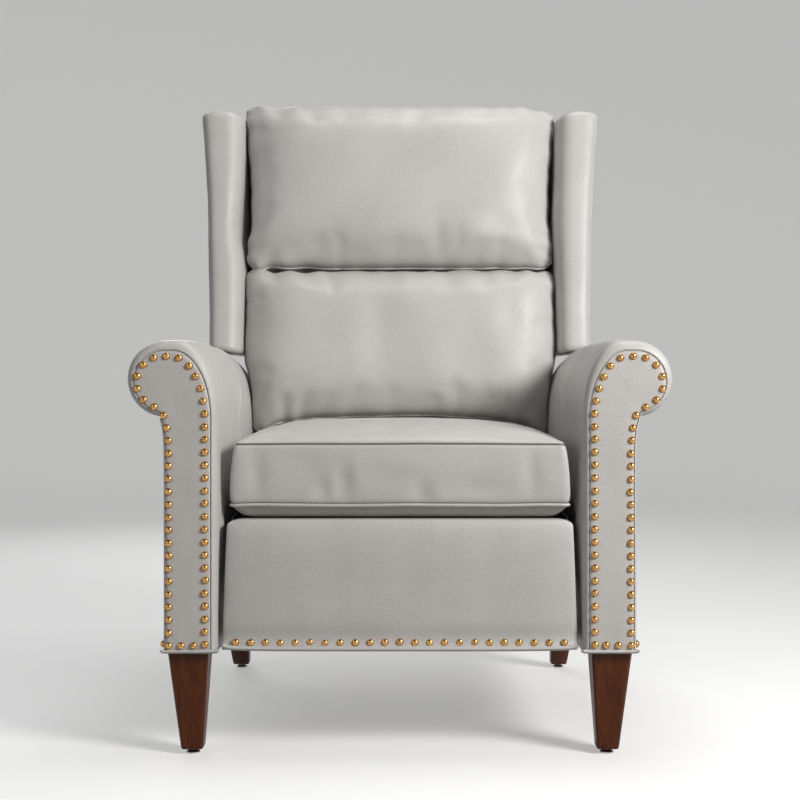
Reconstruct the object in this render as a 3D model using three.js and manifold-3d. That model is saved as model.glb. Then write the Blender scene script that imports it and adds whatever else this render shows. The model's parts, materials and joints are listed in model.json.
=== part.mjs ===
// A wingback recliner that opens when its back is pushed.
// Millimetres, +Z up. The chair faces -Y, and X runs across it.
// Places are measured from the middle (X), the front of the arms (Y) and the floor (Z).
// The finished group is moved so that its origin is under the middle of the whole chair.

import * as THREE from "three";
import { mergeVertices } from "three/addons/utils/BufferGeometryUtils.js";
import Module from "manifold-3d";

const wasm = await Module();
wasm.setup();

// Fits and cuts
const seatGap = 0.3;
const sideGap = 1;
const overrun = 6;

// Arms: leather over a plywood panel, rolled outwards at the top
const armBottomZ = 164;
const armOuterX = 366;
const armWidth = 83;
const armInnerX = armOuterX - armWidth;
const armDepth = 735;
const armCrestZ = 645;
const armShoulderDrop = 115;
const armShoulderZ = armCrestZ - armShoulderDrop;
const rollRadius = 57;
const rollSetback = 3.5;
const rollCentreX = armOuterX - rollSetback;
const rollCrestWidth = 17.5;
const rollStartX = rollCentreX - rollCrestWidth;
const creviceDegrees = -80;
const armCrestShares = [[0, 1], [0.13, 1.05], [0.4, 1.07], [0.6, 1.05], [0.76, 0.98], [0.89, 0.88],
  [0.955, 0.74], [1, 0.55]];

// Facings: the nail-trimmed panels on the arms' fronts
const facingThickness = 12;
const facingInset = 8;
const facingInnerX = armInnerX + facingInset;
const facingTopInset = 15.5;
const facingTopZ = armCrestZ - facingTopInset;
const facingRollRadius = 50;
const facingRollX = rollCentreX + sideGap;
const facingCrestWidth = 12.5;
const facingShoulderX = facingRollX - facingCrestWidth;
const facingShoulderDrop = 5;
const facingShoulderZ = armShoulderZ - facingShoulderDrop;
const facingBevel = 3;

// Arm frames: plywood panels with round windows
const armPanelThickness = 24;
const armPanelInset = 31;
const armPanelX = armInnerX + armPanelInset;
const armPanelFrontY = 20;
const armPanelTopInset = 90;
const armPanelTopZ = armCrestZ - armPanelTopInset;
const windowRadius = 38;
const windowMargin = 97;
const windowRowPitch = 128;
const windowRows = 2;
const windowColumns = 5;
const windowStartZ = 285;

// Stretchers and rear panel between the arms
const stretcherThickness = 21;
const stretcherWidth = 60;
const frontStretcherY = 145;
const rearStretcherInset = 135;
const rearStretcherY = armDepth - rearStretcherInset;
const rearPanelThickness = 12;
const rearPanelTopZ = 318;
const rearPanelInset = 5;
const rearPanelBackY = armDepth - rearPanelInset;
const rearPanelLeanDegrees = 14;

// Legs and glides
const glideHeight = 8;
const glideRadius = 11;
const glideStemShare = 0.4;
const legInset = 37;
const legX = armOuterX - legInset;
const frontLegToeIn = 3;
const rearLegToeIn = 1;
const rearLegInset = 35;
const rearLegSweep = 63;
const rearLegY = armDepth - rearLegInset;
const frontLegTop = { x: legX, y: 42, width: 65, depth: 60 };
const frontLegFoot = { x: legX - frontLegToeIn, y: 47, width: 34, depth: 34 };
const rearLegTop = { x: legX, y: rearLegY, width: 56, depth: 56 };
const rearLegFoot = { x: legX - rearLegToeIn, y: rearLegY + rearLegSweep, width: 32, depth: 34 };
const legChamfer = 2.5;
const frontLegCurve = 1;
const frontLegLevels = 1;
const rearLegCurve = 1.7;
const rearLegLevels = 4;

// Seat frame and springs
const railThickness = 25;
const railHeight = 40;
const railTopZ = 366;
const seatFrameClearance = 25.5;
const seatFrameHalfWidth = armInnerX - seatFrameClearance;
const seatFrameFrontY = 70;
const seatFrameRearInset = 140;
const seatFrameBackY = armDepth - seatFrameRearInset;
const springWire = 4;
const springSwing = 22;
const seatSpringShares = [-0.64, -0.213, 0.213, 0.64];
const seatSpringBends = 11;
const seatTieShares = [0.324, 0.686];

// Seat cushion
const seatCushionFrontY = 12;
const seatCushionRearInset = 169;
const seatCushionBackY = armDepth - seatCushionRearInset;
const seatCushionClearance = 21;
const seatCushionHalfWidth = armInnerX - seatCushionClearance;
const seatCushionTaper = 5;
const seatCushionTopHalfWidth = seatCushionHalfWidth - seatCushionTaper;
const seatCushionSeamLowZ = 392;
const seatCushionSeamHighZ = 488.5;
const seatCushionCrownZ = 523;
const seatCushionCorner = 34;
const seatCushionBulge = 4;
const cushionCornerSteps = 4;
const seatCushionSideSteps = 6;
const pillowSideSteps = 5;

// Swing links that carry the seat on the base rails
const linkThickness = 4;
const swingLength = 90;
const swingWidth = 20;
const swingFrontY = 260;
const swingRearInset = 215;
const swingRearY = armDepth - swingRearInset;
const swingPivotZ = 215;
const swingLeanDegrees = 20;
const pinRadius = 4;
const pinClearance = 0.3;

// Base rails: steel angles on the arms' inner sides
const baseRailThickness = 3;
const baseRailHeight = 44;
const baseRailFlange = 27;
const baseRailFrontY = 150;
const baseRailRearInset = 95;
const baseRailBackY = armDepth - baseRailRearInset;

// Seat side plates
const plateHalfHeight = 23;
const plateNoseRadius = 13;
const plateLobeRadius = 16;
const plateAxisZ = 345;
const plateFlangeFrontY = 150;
const plateFlangeInset = 35;
const plateFlangeBackY = seatFrameBackY - plateFlangeInset;
const tubeY = 200;
const tubeZ = 298;
const tubeRadius = 10;
const tubeWall = 1.6;

// Recline hinge, and the back, which leans back from upright about it
const hingeInset = 95;
const hingeY = armDepth - hingeInset;
const hingeZ = 340;
const leanDegrees = 13;
const hingePinRadius = 5;
const bracketLength = 215;
const bracketWidth = 34;
const wingTopZ = 1121;
const wingTopRise = (wingTopZ - hingeZ) / Math.cos(THREE.MathUtils.degToRad(leanDegrees));

// Back frame, measured along the leaning back from the hinge (rise) and square to it (towards the rear)
const stileThickness = 28;
const stileFront = -30;
const stileRear = 25;
const stileLow = -22;
const backTopInset = 19.5;
const backTopRise = wingTopRise - backTopInset;
const topRailHeight = 70;
const bottomRailLow = 15;
const bottomRailHeight = 60;
const bottomRailFront = -10;
const deckThickness = 4;
const deckLow = 90;
const backSpringRise = [200, 330, 460, 590];
const backSpringBends = 11;
const backSpringDepth = -24;
const backTieX = [-110, 110];
const outsideBackThickness = 12;
const outsideBackLow = -30;
const outsideBackClearance = 15;
const outsideBackHalfWidth = armInnerX - outsideBackClearance;
const outsideBackCorner = 40;
const outsideBackRoundShare = 0.3;

// Wings
const wingDrop = 2;
const wingBottomZ = armCrestZ - wingDrop;
const wingOuterRiseZ = 16;
const wingOverArm = 17;
const wingInnerX = armInnerX + wingOverArm;
const wingWidth = 58;
const wingOuterX = wingInnerX + wingWidth;
const wingInnerFlare = 14;
const wingOuterFlare = 26;
const wingFlarePower = 1.7;
const wingFront = -214;
const wingNose = 30;
const wingRearCorner = 16;
const wingRound = 16;
const wingLevelShares = [[0, 1], [0.012, 0.35], [0.04, 0], [0.3, 0], [0.55, 0], [0.8, 0], [0.96, 0],
  [0.988, 0.35], [1, 1]];

// Pillows on the back
const pillowRear = -34.8;
const pillowCrown = -222;
const pillowEdge = -118;
const headPillowLow = 434;
const headPillowHigh = wingTopRise;
const headPillowClearance = 5;
const headPillowHalfWidth = wingInnerX - headPillowClearance;
const lumbarPillowLow = 146;
const lumbarPillowHigh = 429;
const lumbarPillowClearance = 8;
const lumbarPillowHalfWidth = wingInnerX - lumbarPillowClearance;
const lumbarPillowFootClearance = 13;
const lumbarPillowFootHalfWidth = armInnerX - lumbarPillowFootClearance;
const pillowCorner = 46;

// Footrest
const footrestTopZ = 369;
const footrestBottomZ = 166.5;
const footrestTopClearance = 15;
const footrestTopHalfWidth = armInnerX - footrestTopClearance;
const footrestFlare = 8.5;
const footrestBottomHalfWidth = footrestTopHalfWidth + footrestFlare;
const footrestFrontY = 10;
const footrestPadThickness = 27;
const footrestCorner = 10;
const footrestRound = 7;
const footrestBoardThickness = 18;
const footrestBoardMargin = 12;
const footrestBracketPlate = 3;
const footrestFlange = 26;

// Lazy tongs: two crossing families of links, folded at rest
const tongHalf = 85;
const tongWidth = 17;
const tongAngleDegrees = 6;
const tongTiltDegrees = 4;
const tongPivotY = 125;
const tongPivotZ = 350;
const tongPinRadius = 3.5;

// Colours
const leather = { color: 0xb9b5b0, roughness: 0.5, metalness: 0 };
const legWood = { color: 0x5a2413, roughness: 0.35, metalness: 0 };
const frameWood = { color: 0xb98d5c, roughness: 0.8, metalness: 0 };
const steel = { color: 0x3a3a3c, roughness: 0.45, metalness: 0.9 };
const springSteel = { color: 0x8a8a88, roughness: 0.4, metalness: 1 };
const glideMetal = { color: 0x9a9894, roughness: 0.35, metalness: 1 };
const cloth = { color: 0x26241f, roughness: 0.95, metalness: 0 };

// Smoothness of round shapes
const curveSteps = 8;
const strapSteps = 4;
const arcSteps = 12;
const pinSides = 8;
const wireSides = 4;
const stepsPerBend = 3;
const weld = 1e-4;

const recliner = new THREE.Group();
recliner.name = "wingback_recliner";

/** Adds one named piece to a group. */
function piece(name, geometry, finish, parent = recliner) {
  const mesh = new THREE.Mesh(geometry, new THREE.MeshStandardMaterial(finish));
  mesh.name = name;
  parent.add(mesh);
  return mesh;
}

/** A closed geometry as a solid that can be joined and cut. */
function solidOf(geometry) {
  const bare = new THREE.BufferGeometry();
  bare.setAttribute("position", geometry.attributes.position.clone());
  if (geometry.index) {
    bare.setIndex(geometry.index.clone());
  }
  const welded = mergeVertices(bare, weld);
  const mesh = new wasm.Mesh({
    numProp: 3,
    vertProperties: new Float32Array(welded.attributes.position.array),
    triVerts: new Uint32Array(welded.index.array),
  });
  return new wasm.Manifold(mesh);
}

/** A solid back as a geometry. */
function geometryOf(solid) {
  const mesh = solid.getMesh();
  const geometry = new THREE.BufferGeometry();
  geometry.setAttribute("position", new THREE.BufferAttribute(mesh.vertProperties, 3));
  geometry.setIndex(new THREE.BufferAttribute(mesh.triVerts, 1));
  geometry.computeVertexNormals();
  return geometry;
}

/** Joins geometries and cuts others away. */
function joinAndCut(joined, cut = []) {
  let solid = solidOf(joined[0]);
  for (const other of joined.slice(1)) {
    solid = solid.add(solidOf(other));
  }
  for (const tool of cut) {
    solid = solid.subtract(solidOf(tool));
  }
  return geometryOf(solid);
}

/** Extrudes an outline drawn in Y and Z between two places on X. */
function acrossX(shape, xA, xB, options = {}) {
  const geometry = new THREE.ExtrudeGeometry(shape, {
    depth: Math.abs(xB - xA), bevelEnabled: false, curveSegments: strapSteps, ...options });
  const frame = new THREE.Matrix4().makeBasis(
    new THREE.Vector3(0, 1, 0), new THREE.Vector3(0, 0, 1), new THREE.Vector3(1, 0, 0));
  frame.setPosition(Math.min(xA, xB), 0, 0);
  return geometry.applyMatrix4(frame);
}

/** Extrudes an outline drawn in X and Z between two places on Y. */
function alongY(shape, yA, yB, options = {}) {
  const geometry = new THREE.ExtrudeGeometry(shape, {
    depth: Math.abs(yB - yA), bevelEnabled: false, curveSegments: curveSteps, ...options });
  const frame = new THREE.Matrix4().makeBasis(
    new THREE.Vector3(1, 0, 0), new THREE.Vector3(0, 0, 1), new THREE.Vector3(0, -1, 0));
  frame.setPosition(0, Math.max(yA, yB), 0);
  return geometry.applyMatrix4(frame);
}

/** A board between two corners. */
function board(low, high) {
  const geometry = new THREE.BoxGeometry(high[0] - low[0], high[1] - low[1], high[2] - low[2]);
  return geometry.translate((low[0] + high[0]) / 2, (low[1] + high[1]) / 2, (low[2] + high[2]) / 2);
}

/** A round pin along X, between two places on X. */
function pinX(xA, xB, y, z, radius) {
  const geometry = new THREE.CylinderGeometry(radius, radius, Math.abs(xB - xA), pinSides);
  geometry.rotateZ(Math.PI / 2);
  return geometry.translate((xA + xB) / 2, y, z);
}

/** The bore for such a pin. Its flats, not its corners, keep the clearance to the turning pin. */
function boreX(xA, xB, y, z, pin) {
  return pinX(xA, xB, y, z, (pin + pinClearance) / Math.cos(Math.PI / pinSides));
}

/** A closed outline through points given as [x, y] pairs. */
function polygon(points) {
  return new THREE.Shape(points.map(([x, y]) => new THREE.Vector2(x, y)));
}

/** A strap outline: two round ends joined by tangents, like a link of a chain. */
function strap(from, to, radiusFrom, radiusTo) {
  const run = Math.hypot(to[0] - from[0], to[1] - from[1]);
  const heading = Math.atan2(to[1] - from[1], to[0] - from[0]);
  const tilt = Math.acos((radiusFrom - radiusTo) / run);
  const shape = new THREE.Shape();
  shape.absarc(from[0], from[1], radiusFrom, heading + tilt, heading - tilt + 2 * Math.PI, false);
  shape.absarc(to[0], to[1], radiusTo, heading - tilt, heading + tilt, false);
  shape.closePath();
  return shape;
}

/** A rectangle with round corners as a ring of [x, y] points. */
function roundedRing(halfX, halfY, corner, perSide, perCorner) {
  const ring = [];
  const turns = [[1, 1, 0], [-1, 1, 1], [-1, -1, 2], [1, -1, 3]];
  for (const [signX, signY, quarter] of turns) {
    const centreX = signX * (halfX - corner);
    const centreY = signY * (halfY - corner);
    for (let step = 0; step <= perCorner; step += 1) {
      const angle = (quarter + step / perCorner) * Math.PI / 2;
      ring.push([centreX + corner * Math.cos(angle), centreY + corner * Math.sin(angle)]);
    }
    const [nextX, nextY] = turns[(quarter + 1) % turns.length];
    const angle = (quarter + 1) * Math.PI / 2;
    const last = ring[ring.length - 1];
    const next = [nextX * (halfX - corner) + corner * Math.cos(angle),
      nextY * (halfY - corner) + corner * Math.sin(angle)];
    for (let step = 1; step < perSide; step += 1) {
      const share = step / perSide;
      ring.push([last[0] + (next[0] - last[0]) * share, last[1] + (next[1] - last[1]) * share]);
    }
  }
  return ring;
}

/** Triangles that close a ring of points, turned to follow the ring's own direction. */
function capTriangles(ring) {
  const normal = new THREE.Vector3();
  ring.forEach((point, index) => {
    const next = ring[(index + 1) % ring.length];
    normal.add(new THREE.Vector3().crossVectors(point, next));
  });
  const axis = ["x", "y", "z"].reduce((best, key) =>
    Math.abs(normal[key]) > Math.abs(normal[best]) ? key : best, "x");
  const [first, second] = { x: ["y", "z"], y: ["z", "x"], z: ["x", "y"] }[axis];
  const flat = ring.map((point) => new THREE.Vector2(point[first], point[second]));
  const faces = THREE.ShapeUtils.triangulateShape(flat, []);
  return faces.map(([a, b, c]) => {
    const turn = (flat[b].x - flat[a].x) * (flat[c].y - flat[a].y)
      - (flat[c].x - flat[a].x) * (flat[b].y - flat[a].y);
    return turn * normal[axis] > 0 ? [a, b, c] : [a, c, b];
  });
}

/** A closed solid through rings of equally many points, with a cap at both ends. */
function loft(rings) {
  const count = rings[0].length;
  const points = rings.flat();
  let faces = [];
  for (let level = 0; level + 1 < rings.length; level += 1) {
    for (let index = 0; index < count; index += 1) {
      const a = level * count + index;
      const b = level * count + (index + 1) % count;
      faces.push([a, b, b + count], [a, b + count, a + count]);
    }
  }
  const last = (rings.length - 1) * count;
  for (const [a, b, c] of capTriangles(rings[0])) {
    faces.push([a, c, b]);
  }
  for (const [a, b, c] of capTriangles(rings[rings.length - 1])) {
    faces.push([last + a, last + b, last + c]);
  }
  const volume = faces.reduce((sum, [a, b, c]) =>
    sum + points[a].dot(new THREE.Vector3().crossVectors(points[b], points[c])), 0);
  if (volume < 0) {
    faces = faces.map(([a, b, c]) => [a, c, b]);
  }
  const geometry = new THREE.BufferGeometry();
  geometry.setAttribute("position", new THREE.Float32BufferAttribute(
    points.flatMap((point) => [point.x, point.y, point.z]), 3));
  geometry.setIndex(faces.flat());
  geometry.computeVertexNormals();
  return geometry;
}

/** A tube along a curve. */
function tube(curve, radius, sides, steps) {
  const section = [];
  for (let side = 0; side < sides; side += 1) {
    const angle = side / sides * 2 * Math.PI;
    section.push([radius * Math.cos(angle), radius * Math.sin(angle)]);
  }
  return new THREE.ExtrudeGeometry(polygon(section), {
    steps, extrudePath: curve, bevelEnabled: false });
}

/** A sinuous spring: a wire that swings from side to side as it runs between two points. */
function sinuous(from, to, side, swing, bends) {
  const points = [from.clone()];
  for (let bend = 0; bend < bends; bend += 1) {
    const share = (bend + 1) / (bends + 1);
    const sway = side.clone().multiplyScalar(bend % 2 ? -swing : swing);
    points.push(from.clone().lerp(to, share).add(sway));
  }
  points.push(to.clone());
  const curve = new THREE.CatmullRomCurve3(points, false, "centripetal");
  return tube(curve, springWire / 2, wireSides, (bends + 1) * stepsPerBend);
}

/** A straight wire. */
function wire(from, to) {
  return tube(new THREE.LineCurve3(from, to), springWire / 2, wireSides, 1);
}

const radians = THREE.MathUtils.degToRad;
const sides = [["left", -1], ["right", 1]];

// Arm cover: the section is an upright wall, a rounded shoulder and a roll over the outside.
function armSection(side, crestShare) {
  const ring = [[armInnerX, armBottomZ], [armInnerX, (armBottomZ + armShoulderZ) / 2]];
  const reach = rollStartX - armInnerX;
  const rise = armCrestZ - armShoulderZ;
  for (let step = 0; step <= curveSteps; step += 1) {
    const angle = step / curveSteps * Math.PI / 2;
    ring.push([rollStartX - reach * Math.cos(angle), armShoulderZ + rise * Math.sin(angle)]);
  }
  const sweep = radians(90 - creviceDegrees);
  for (let step = 0; step <= arcSteps; step += 1) {
    const angle = Math.PI / 2 - step / arcSteps * sweep;
    ring.push([rollCentreX + rollRadius * Math.cos(angle),
      armCrestZ - rollRadius + rollRadius * Math.sin(angle)]);
  }
  ring.push([armOuterX, armShoulderZ - rollRadius / 4], [armOuterX, armBottomZ]);
  return ring.map(([x, z]) => {
    const above = Math.max(0, z - armShoulderZ);
    return [side * x, z - above + above * crestShare];
  });
}

function armCover(side) {
  const start = facingThickness + seatGap;
  const rings = armCrestShares.map(([depthShare, crestShare]) => {
    const y = start + (armDepth - start) * depthShare;
    return armSection(side, crestShare).map(([x, z]) => new THREE.Vector3(x, y, z));
  });
  const slotXs = [side * (armPanelX - seatGap), side * (armPanelX + armPanelThickness + seatGap)];
  const slot = board(
    [Math.min(...slotXs), start - overrun, armBottomZ - overrun],
    [Math.max(...slotXs), armDepth - facingThickness, armPanelTopZ + seatGap]);
  return joinAndCut([loft(rings)], [slot]);
}

function facingShape(side) {
  const shape = new THREE.Shape();
  const centreZ = facingTopZ - facingRollRadius;
  const crevice = radians(creviceDegrees);
  const shoulderWidth = facingShoulderX - facingInnerX;
  shape.moveTo(facingInnerX, armBottomZ);
  shape.lineTo(armOuterX, armBottomZ);
  shape.lineTo(armOuterX, centreZ - facingRollRadius - facingThickness);
  shape.absarc(facingRollX, centreZ, facingRollRadius, crevice, Math.PI / 2, false);
  shape.lineTo(facingShoulderX, facingTopZ);
  shape.absellipse(facingShoulderX, facingShoulderZ, shoulderWidth, facingTopZ - facingShoulderZ,
    Math.PI / 2, Math.PI, false);
  shape.closePath();
  const outline = shape.getPoints(curveSteps).map((point) => [side * point.x, point.y]);
  return polygon(outline);
}

function armFacing(side) {
  const back = alongY(facingShape(side), facingBevel, facingThickness);
  const rim = alongY(facingShape(side), 0, facingBevel + seatGap, {
    depth: seatGap, bevelEnabled: true, bevelThickness: facingBevel, bevelSize: facingBevel,
    bevelOffset: -facingBevel, bevelSegments: 1 });
  rim.computeBoundingBox();
  rim.translate(0, -rim.boundingBox.min.y, 0);
  return joinAndCut([back, rim]);
}

function armPanel(side) {
  const back = armDepth - facingThickness - seatGap;
  const outline = new THREE.Shape();
  const topRound = railHeight;
  outline.moveTo(armPanelFrontY, armBottomZ);
  outline.lineTo(back, armBottomZ);
  outline.lineTo(back, armPanelTopZ - topRound);
  outline.absarc(back - topRound, armPanelTopZ - topRound, topRound, 0, Math.PI / 2, false);
  outline.lineTo(armPanelFrontY, armPanelTopZ);
  outline.closePath();
  const firstWindowY = armPanelFrontY + windowMargin;
  const windowPitch = (back - windowMargin - firstWindowY) / (windowColumns - 1);
  const radius = Math.min(windowRadius, windowPitch / 2 - railThickness);
  for (let row = 0; row < windowRows; row += 1) {
    for (let column = 0; column < windowColumns; column += 1) {
      const window = new THREE.Path();
      window.absarc(firstWindowY + column * windowPitch, windowStartZ + row * windowRowPitch,
        radius, 0, 2 * Math.PI, true);
      outline.holes.push(window);
    }
  }
  return acrossX(outline, side * armPanelX, side * (armPanelX + armPanelThickness));
}

for (const [word, side] of sides) {
  piece(`arm_cover_${word}`, armCover(side), leather);
  piece(`arm_facing_${word}`, armFacing(side), leather);
  piece(`arm_frame_${word}`, armPanel(side), frameWood);
}

// Stretchers: flat boards that tie the arms together under the mechanism.
const baseRailLowZ = armBottomZ + stretcherThickness + seatGap;
const betweenArms = armInnerX - seatGap;
for (const [name, y] of [["front_stretcher", frontStretcherY], ["rear_stretcher", rearStretcherY]]) {
  piece(name, board([-betweenArms, y, armBottomZ],
    [betweenArms, y + stretcherWidth, armBottomZ + stretcherThickness]), frameWood);
}

// Rear panel: closes the body between the arms, under the outside back.
const rearPanelLean = (rearPanelTopZ - armBottomZ) * Math.tan(radians(rearPanelLeanDegrees));
piece("rear_panel", acrossX(polygon([
  [rearPanelBackY, armBottomZ],
  [rearPanelBackY - rearPanelLean, rearPanelTopZ],
  [rearPanelBackY - rearPanelLean - rearPanelThickness, rearPanelTopZ],
  [rearPanelBackY - rearPanelThickness, armBottomZ],
]), -betweenArms, betweenArms), leather);

// Legs: square and tapered. The rear ones sweep backwards on a curve.
function legSquare(side, x, y, width, depth, z) {
  const ring = roundedRing(width / 2, depth / 2, legChamfer, 1, 1);
  return ring.map(([dx, dy]) => new THREE.Vector3(side * x + dx, y + dy, z));
}

function taperedLeg(side, top, foot, curve, levels) {
  const topZ = armBottomZ - seatGap;
  const footZ = glideHeight + seatGap;
  const rings = [];
  for (let level = 0; level <= levels; level += 1) {
    const share = level / levels;
    const drift = share ** curve;
    const mix = (a, b, t) => a + (b - a) * t;
    rings.push(legSquare(side, mix(top.x, foot.x, share), mix(top.y, foot.y, drift),
      mix(top.width, foot.width, share), mix(top.depth, foot.depth, share), mix(topZ, footZ, share)));
  }
  return loft(rings);
}

function glide(side, foot) {
  const stem = glideRadius * glideStemShare;
  const profile = [[0, 0], [glideRadius, 0], [glideRadius, glideHeight / 4],
    [glideRadius - stem / 2, glideHeight / 2], [stem, glideHeight * 3 / 4], [stem, glideHeight],
    [0, glideHeight]];
  const geometry = new THREE.LatheGeometry(profile.map(([r, z]) => new THREE.Vector2(r, z)), arcSteps);
  return geometry.rotateX(Math.PI / 2).translate(side * foot.x, foot.y, 0);
}

for (const [word, side] of sides) {
  piece(`leg_front_${word}`, taperedLeg(side, frontLegTop, frontLegFoot, frontLegCurve, frontLegLevels),
    legWood);
  piece(`leg_rear_${word}`, taperedLeg(side, rearLegTop, rearLegFoot, rearLegCurve, rearLegLevels),
    legWood);
  piece(`glide_front_${word}`, glide(side, frontLegFoot), glideMetal);
  piece(`glide_rear_${word}`, glide(side, rearLegFoot), glideMetal);
}

// Layers of the mechanism, counted inwards from the arm: base rail, swing links, side plates,
// outer tong links, inner tong links. Each layer is [inner X, outer X].
function layerInside(outer, thickness, gap) {
  return [outer - gap - thickness, outer - gap];
}
const baseRailLayer = layerInside(armInnerX, baseRailThickness, seatGap);
const swingLayer = layerInside(baseRailLayer[0], linkThickness, sideGap);
const plateLayer = layerInside(swingLayer[0], linkThickness, sideGap);
const outerTongLayer = layerInside(plateLayer[0], linkThickness, sideGap);
const innerTongLayer = layerInside(outerTongLayer[0], linkThickness, sideGap);
const swingPivots = [["front", swingFrontY], ["rear", swingRearY]];
const swingLean = radians(swingLeanDegrees);
const swingTop = (y) =>
  [y + swingLength * Math.sin(swingLean), swingPivotZ + swingLength * Math.cos(swingLean)];

// Base rails: steel angles that stand on the stretchers against the arms.
function baseRail(side) {
  const [inner, outer] = baseRailLayer;
  const wall = board(
    [Math.min(side * inner, side * outer), baseRailFrontY, baseRailLowZ],
    [Math.max(side * inner, side * outer), baseRailBackY, baseRailLowZ + baseRailHeight]);
  const foot = [side * (outer - baseRailFlange), side * outer];
  const flange = board([Math.min(...foot), baseRailFrontY, baseRailLowZ],
    [Math.max(...foot), baseRailBackY, baseRailLowZ + baseRailThickness]);
  const bores = swingPivots.map(([, y]) => boreX(side * (inner - overrun), side * (outer + overrun),
    y, swingPivotZ, pinRadius));
  return joinAndCut([wall, flange], bores);
}

// Swing links: each has a pin into the base rail and a pin into the side plate.
function swingLink(side, y) {
  const [inner, outer] = swingLayer;
  const [topY, topZ] = swingTop(y);
  const bar = acrossX(strap([y, swingPivotZ], [topY, topZ], swingWidth / 2, swingWidth / 2),
    side * inner, side * outer);
  const lowPin = pinX(side * inner, side * (baseRailLayer[1] - seatGap), y, swingPivotZ, pinRadius);
  const highPin = pinX(side * outer, side * (plateLayer[0] - seatGap), topY, topZ, pinRadius);
  return joinAndCut([bar, lowPin, highPin]);
}

// Side plates: steel plates that carry the seat frame, the tongs and the recline hinge.
const railLowZ = railTopZ - railHeight;
function sidePlate(side) {
  const [inner, outer] = plateLayer;
  const xs = [side * inner, side * outer];
  const nose = [tongPivotY, tongPivotZ];
  const shoulder = [tubeY, plateAxisZ];
  const tail = [hingeY, hingeZ];
  const parts = [
    acrossX(strap(nose, shoulder, plateNoseRadius, plateHalfHeight), ...xs),
    acrossX(strap(shoulder, tail, plateHalfHeight, plateHalfHeight), ...xs),
    acrossX(strap([tubeY, tubeZ], shoulder, plateLobeRadius, plateLobeRadius), ...xs),
  ];
  for (const [, y] of swingPivots) {
    const [topY, topZ] = swingTop(y);
    parts.push(acrossX(strap([topY, topZ], [topY, plateAxisZ], plateLobeRadius, plateLobeRadius), ...xs));
  }
  const flangeXs = [side * (seatFrameHalfWidth - railThickness), side * outer];
  parts.push(board([Math.min(...flangeXs), plateFlangeFrontY, railLowZ - seatGap - baseRailThickness],
    [Math.max(...flangeXs), plateFlangeBackY, railLowZ - seatGap]));
  const across = [side * (inner - overrun), side * (outer + overrun)];
  const bores = swingPivots.map(([, y]) => boreX(...across, ...swingTop(y), pinRadius));
  bores.push(boreX(...across, ...nose, tongPinRadius));
  bores.push(boreX(...across, ...tail, hingePinRadius));
  return joinAndCut(parts, bores);
}

for (const [word, side] of sides) {
  piece(`base_rail_${word}`, baseRail(side), steel);
  piece(`side_plate_${word}`, sidePlate(side), steel);
  for (const [place, y] of swingPivots) {
    piece(`swing_link_${place}_${word}`, swingLink(side, y), steel);
  }
}

const ringShape = new THREE.Shape();
ringShape.absarc(tubeY, tubeZ, tubeRadius, 0, 2 * Math.PI, false);
const boreShape = new THREE.Path();
boreShape.absarc(tubeY, tubeZ, tubeRadius - tubeWall, 0, 2 * Math.PI, true);
ringShape.holes.push(boreShape);
const tubeEnd = plateLayer[0] - seatGap;
piece("torque_tube", acrossX(ringShape, -tubeEnd, tubeEnd), steel);

// Seat frame: four rails round the sinuous springs, which lie on the front and rear rails.
const seatRailInner = seatFrameHalfWidth - railThickness;
const frontRailBackY = seatFrameFrontY + railThickness;
const rearRailFrontY = seatFrameBackY - railThickness;
piece("seat_rail_front", board([-seatFrameHalfWidth, seatFrameFrontY, railLowZ],
  [seatFrameHalfWidth, frontRailBackY, railTopZ]), frameWood);
piece("seat_rail_rear", board([-seatFrameHalfWidth, rearRailFrontY, railLowZ],
  [seatFrameHalfWidth, seatFrameBackY, railTopZ]), frameWood);
for (const [word, side] of sides) {
  const xs = [side * seatRailInner, side * seatFrameHalfWidth];
  piece(`seat_rail_${word}`, board([Math.min(...xs), frontRailBackY + seatGap, railLowZ],
    [Math.max(...xs), rearRailFrontY - seatGap, railTopZ]), frameWood);
}

const springZ = railTopZ + seatGap + springWire / 2;
const acrossSeat = new THREE.Vector3(1, 0, 0);
const seatSpringX = seatSpringShares.map((share) => share * seatFrameHalfWidth);
const seatTieY = seatTieShares.map((share) => seatFrameFrontY + share * (seatFrameBackY - seatFrameFrontY));
const seatStrands = seatSpringX.map((x) => sinuous(
  new THREE.Vector3(x, seatFrameFrontY + springSwing / 2, springZ),
  new THREE.Vector3(x, seatFrameBackY - springSwing / 2, springZ),
  acrossSeat, springSwing, seatSpringBends));
const seatTies = seatTieY.map((y) => wire(
  new THREE.Vector3(seatSpringX[0] - springSwing * 2, y, springZ),
  new THREE.Vector3(seatSpringX[seatSpringX.length - 1] + springSwing * 2, y, springZ)));
piece("seat_springs", joinAndCut([...seatStrands, ...seatTies]), springSteel);

// Seat cushion: a box cushion with a crown, seams top and bottom, and sides that bulge between them.
// Each row is [share of the outline, share of the way from the row's low level to its high level].
const cushionRestZ = springZ + springWire / 2 + seatGap;
const cushionUndersideShares = [[0.5, 0], [0.86, 0], [0.94, 0.35], [1, 1]];
const cushionTopShares = [[0.93, 0.42], [0.76, 0.78], [0.5, 0.94], [0.2, 1]];
const between = (low, high, share) => low + (high - low) * share;
const seatCushionRows = [
  ...cushionUndersideShares.map(([share, rise]) =>
    [share, between(cushionRestZ, seatCushionSeamLowZ, rise), 1]),
  [1, (seatCushionSeamLowZ + seatCushionSeamHighZ) / 2, 1 + seatCushionBulge / seatCushionHalfWidth],
  [1, seatCushionSeamHighZ, seatCushionTopHalfWidth / seatCushionHalfWidth],
  ...cushionTopShares.map(([share, rise]) =>
    [share, between(seatCushionSeamHighZ, seatCushionCrownZ, rise), 1]),
];
const seatMiddleY = (seatCushionFrontY + seatCushionBackY) / 2;
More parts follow.
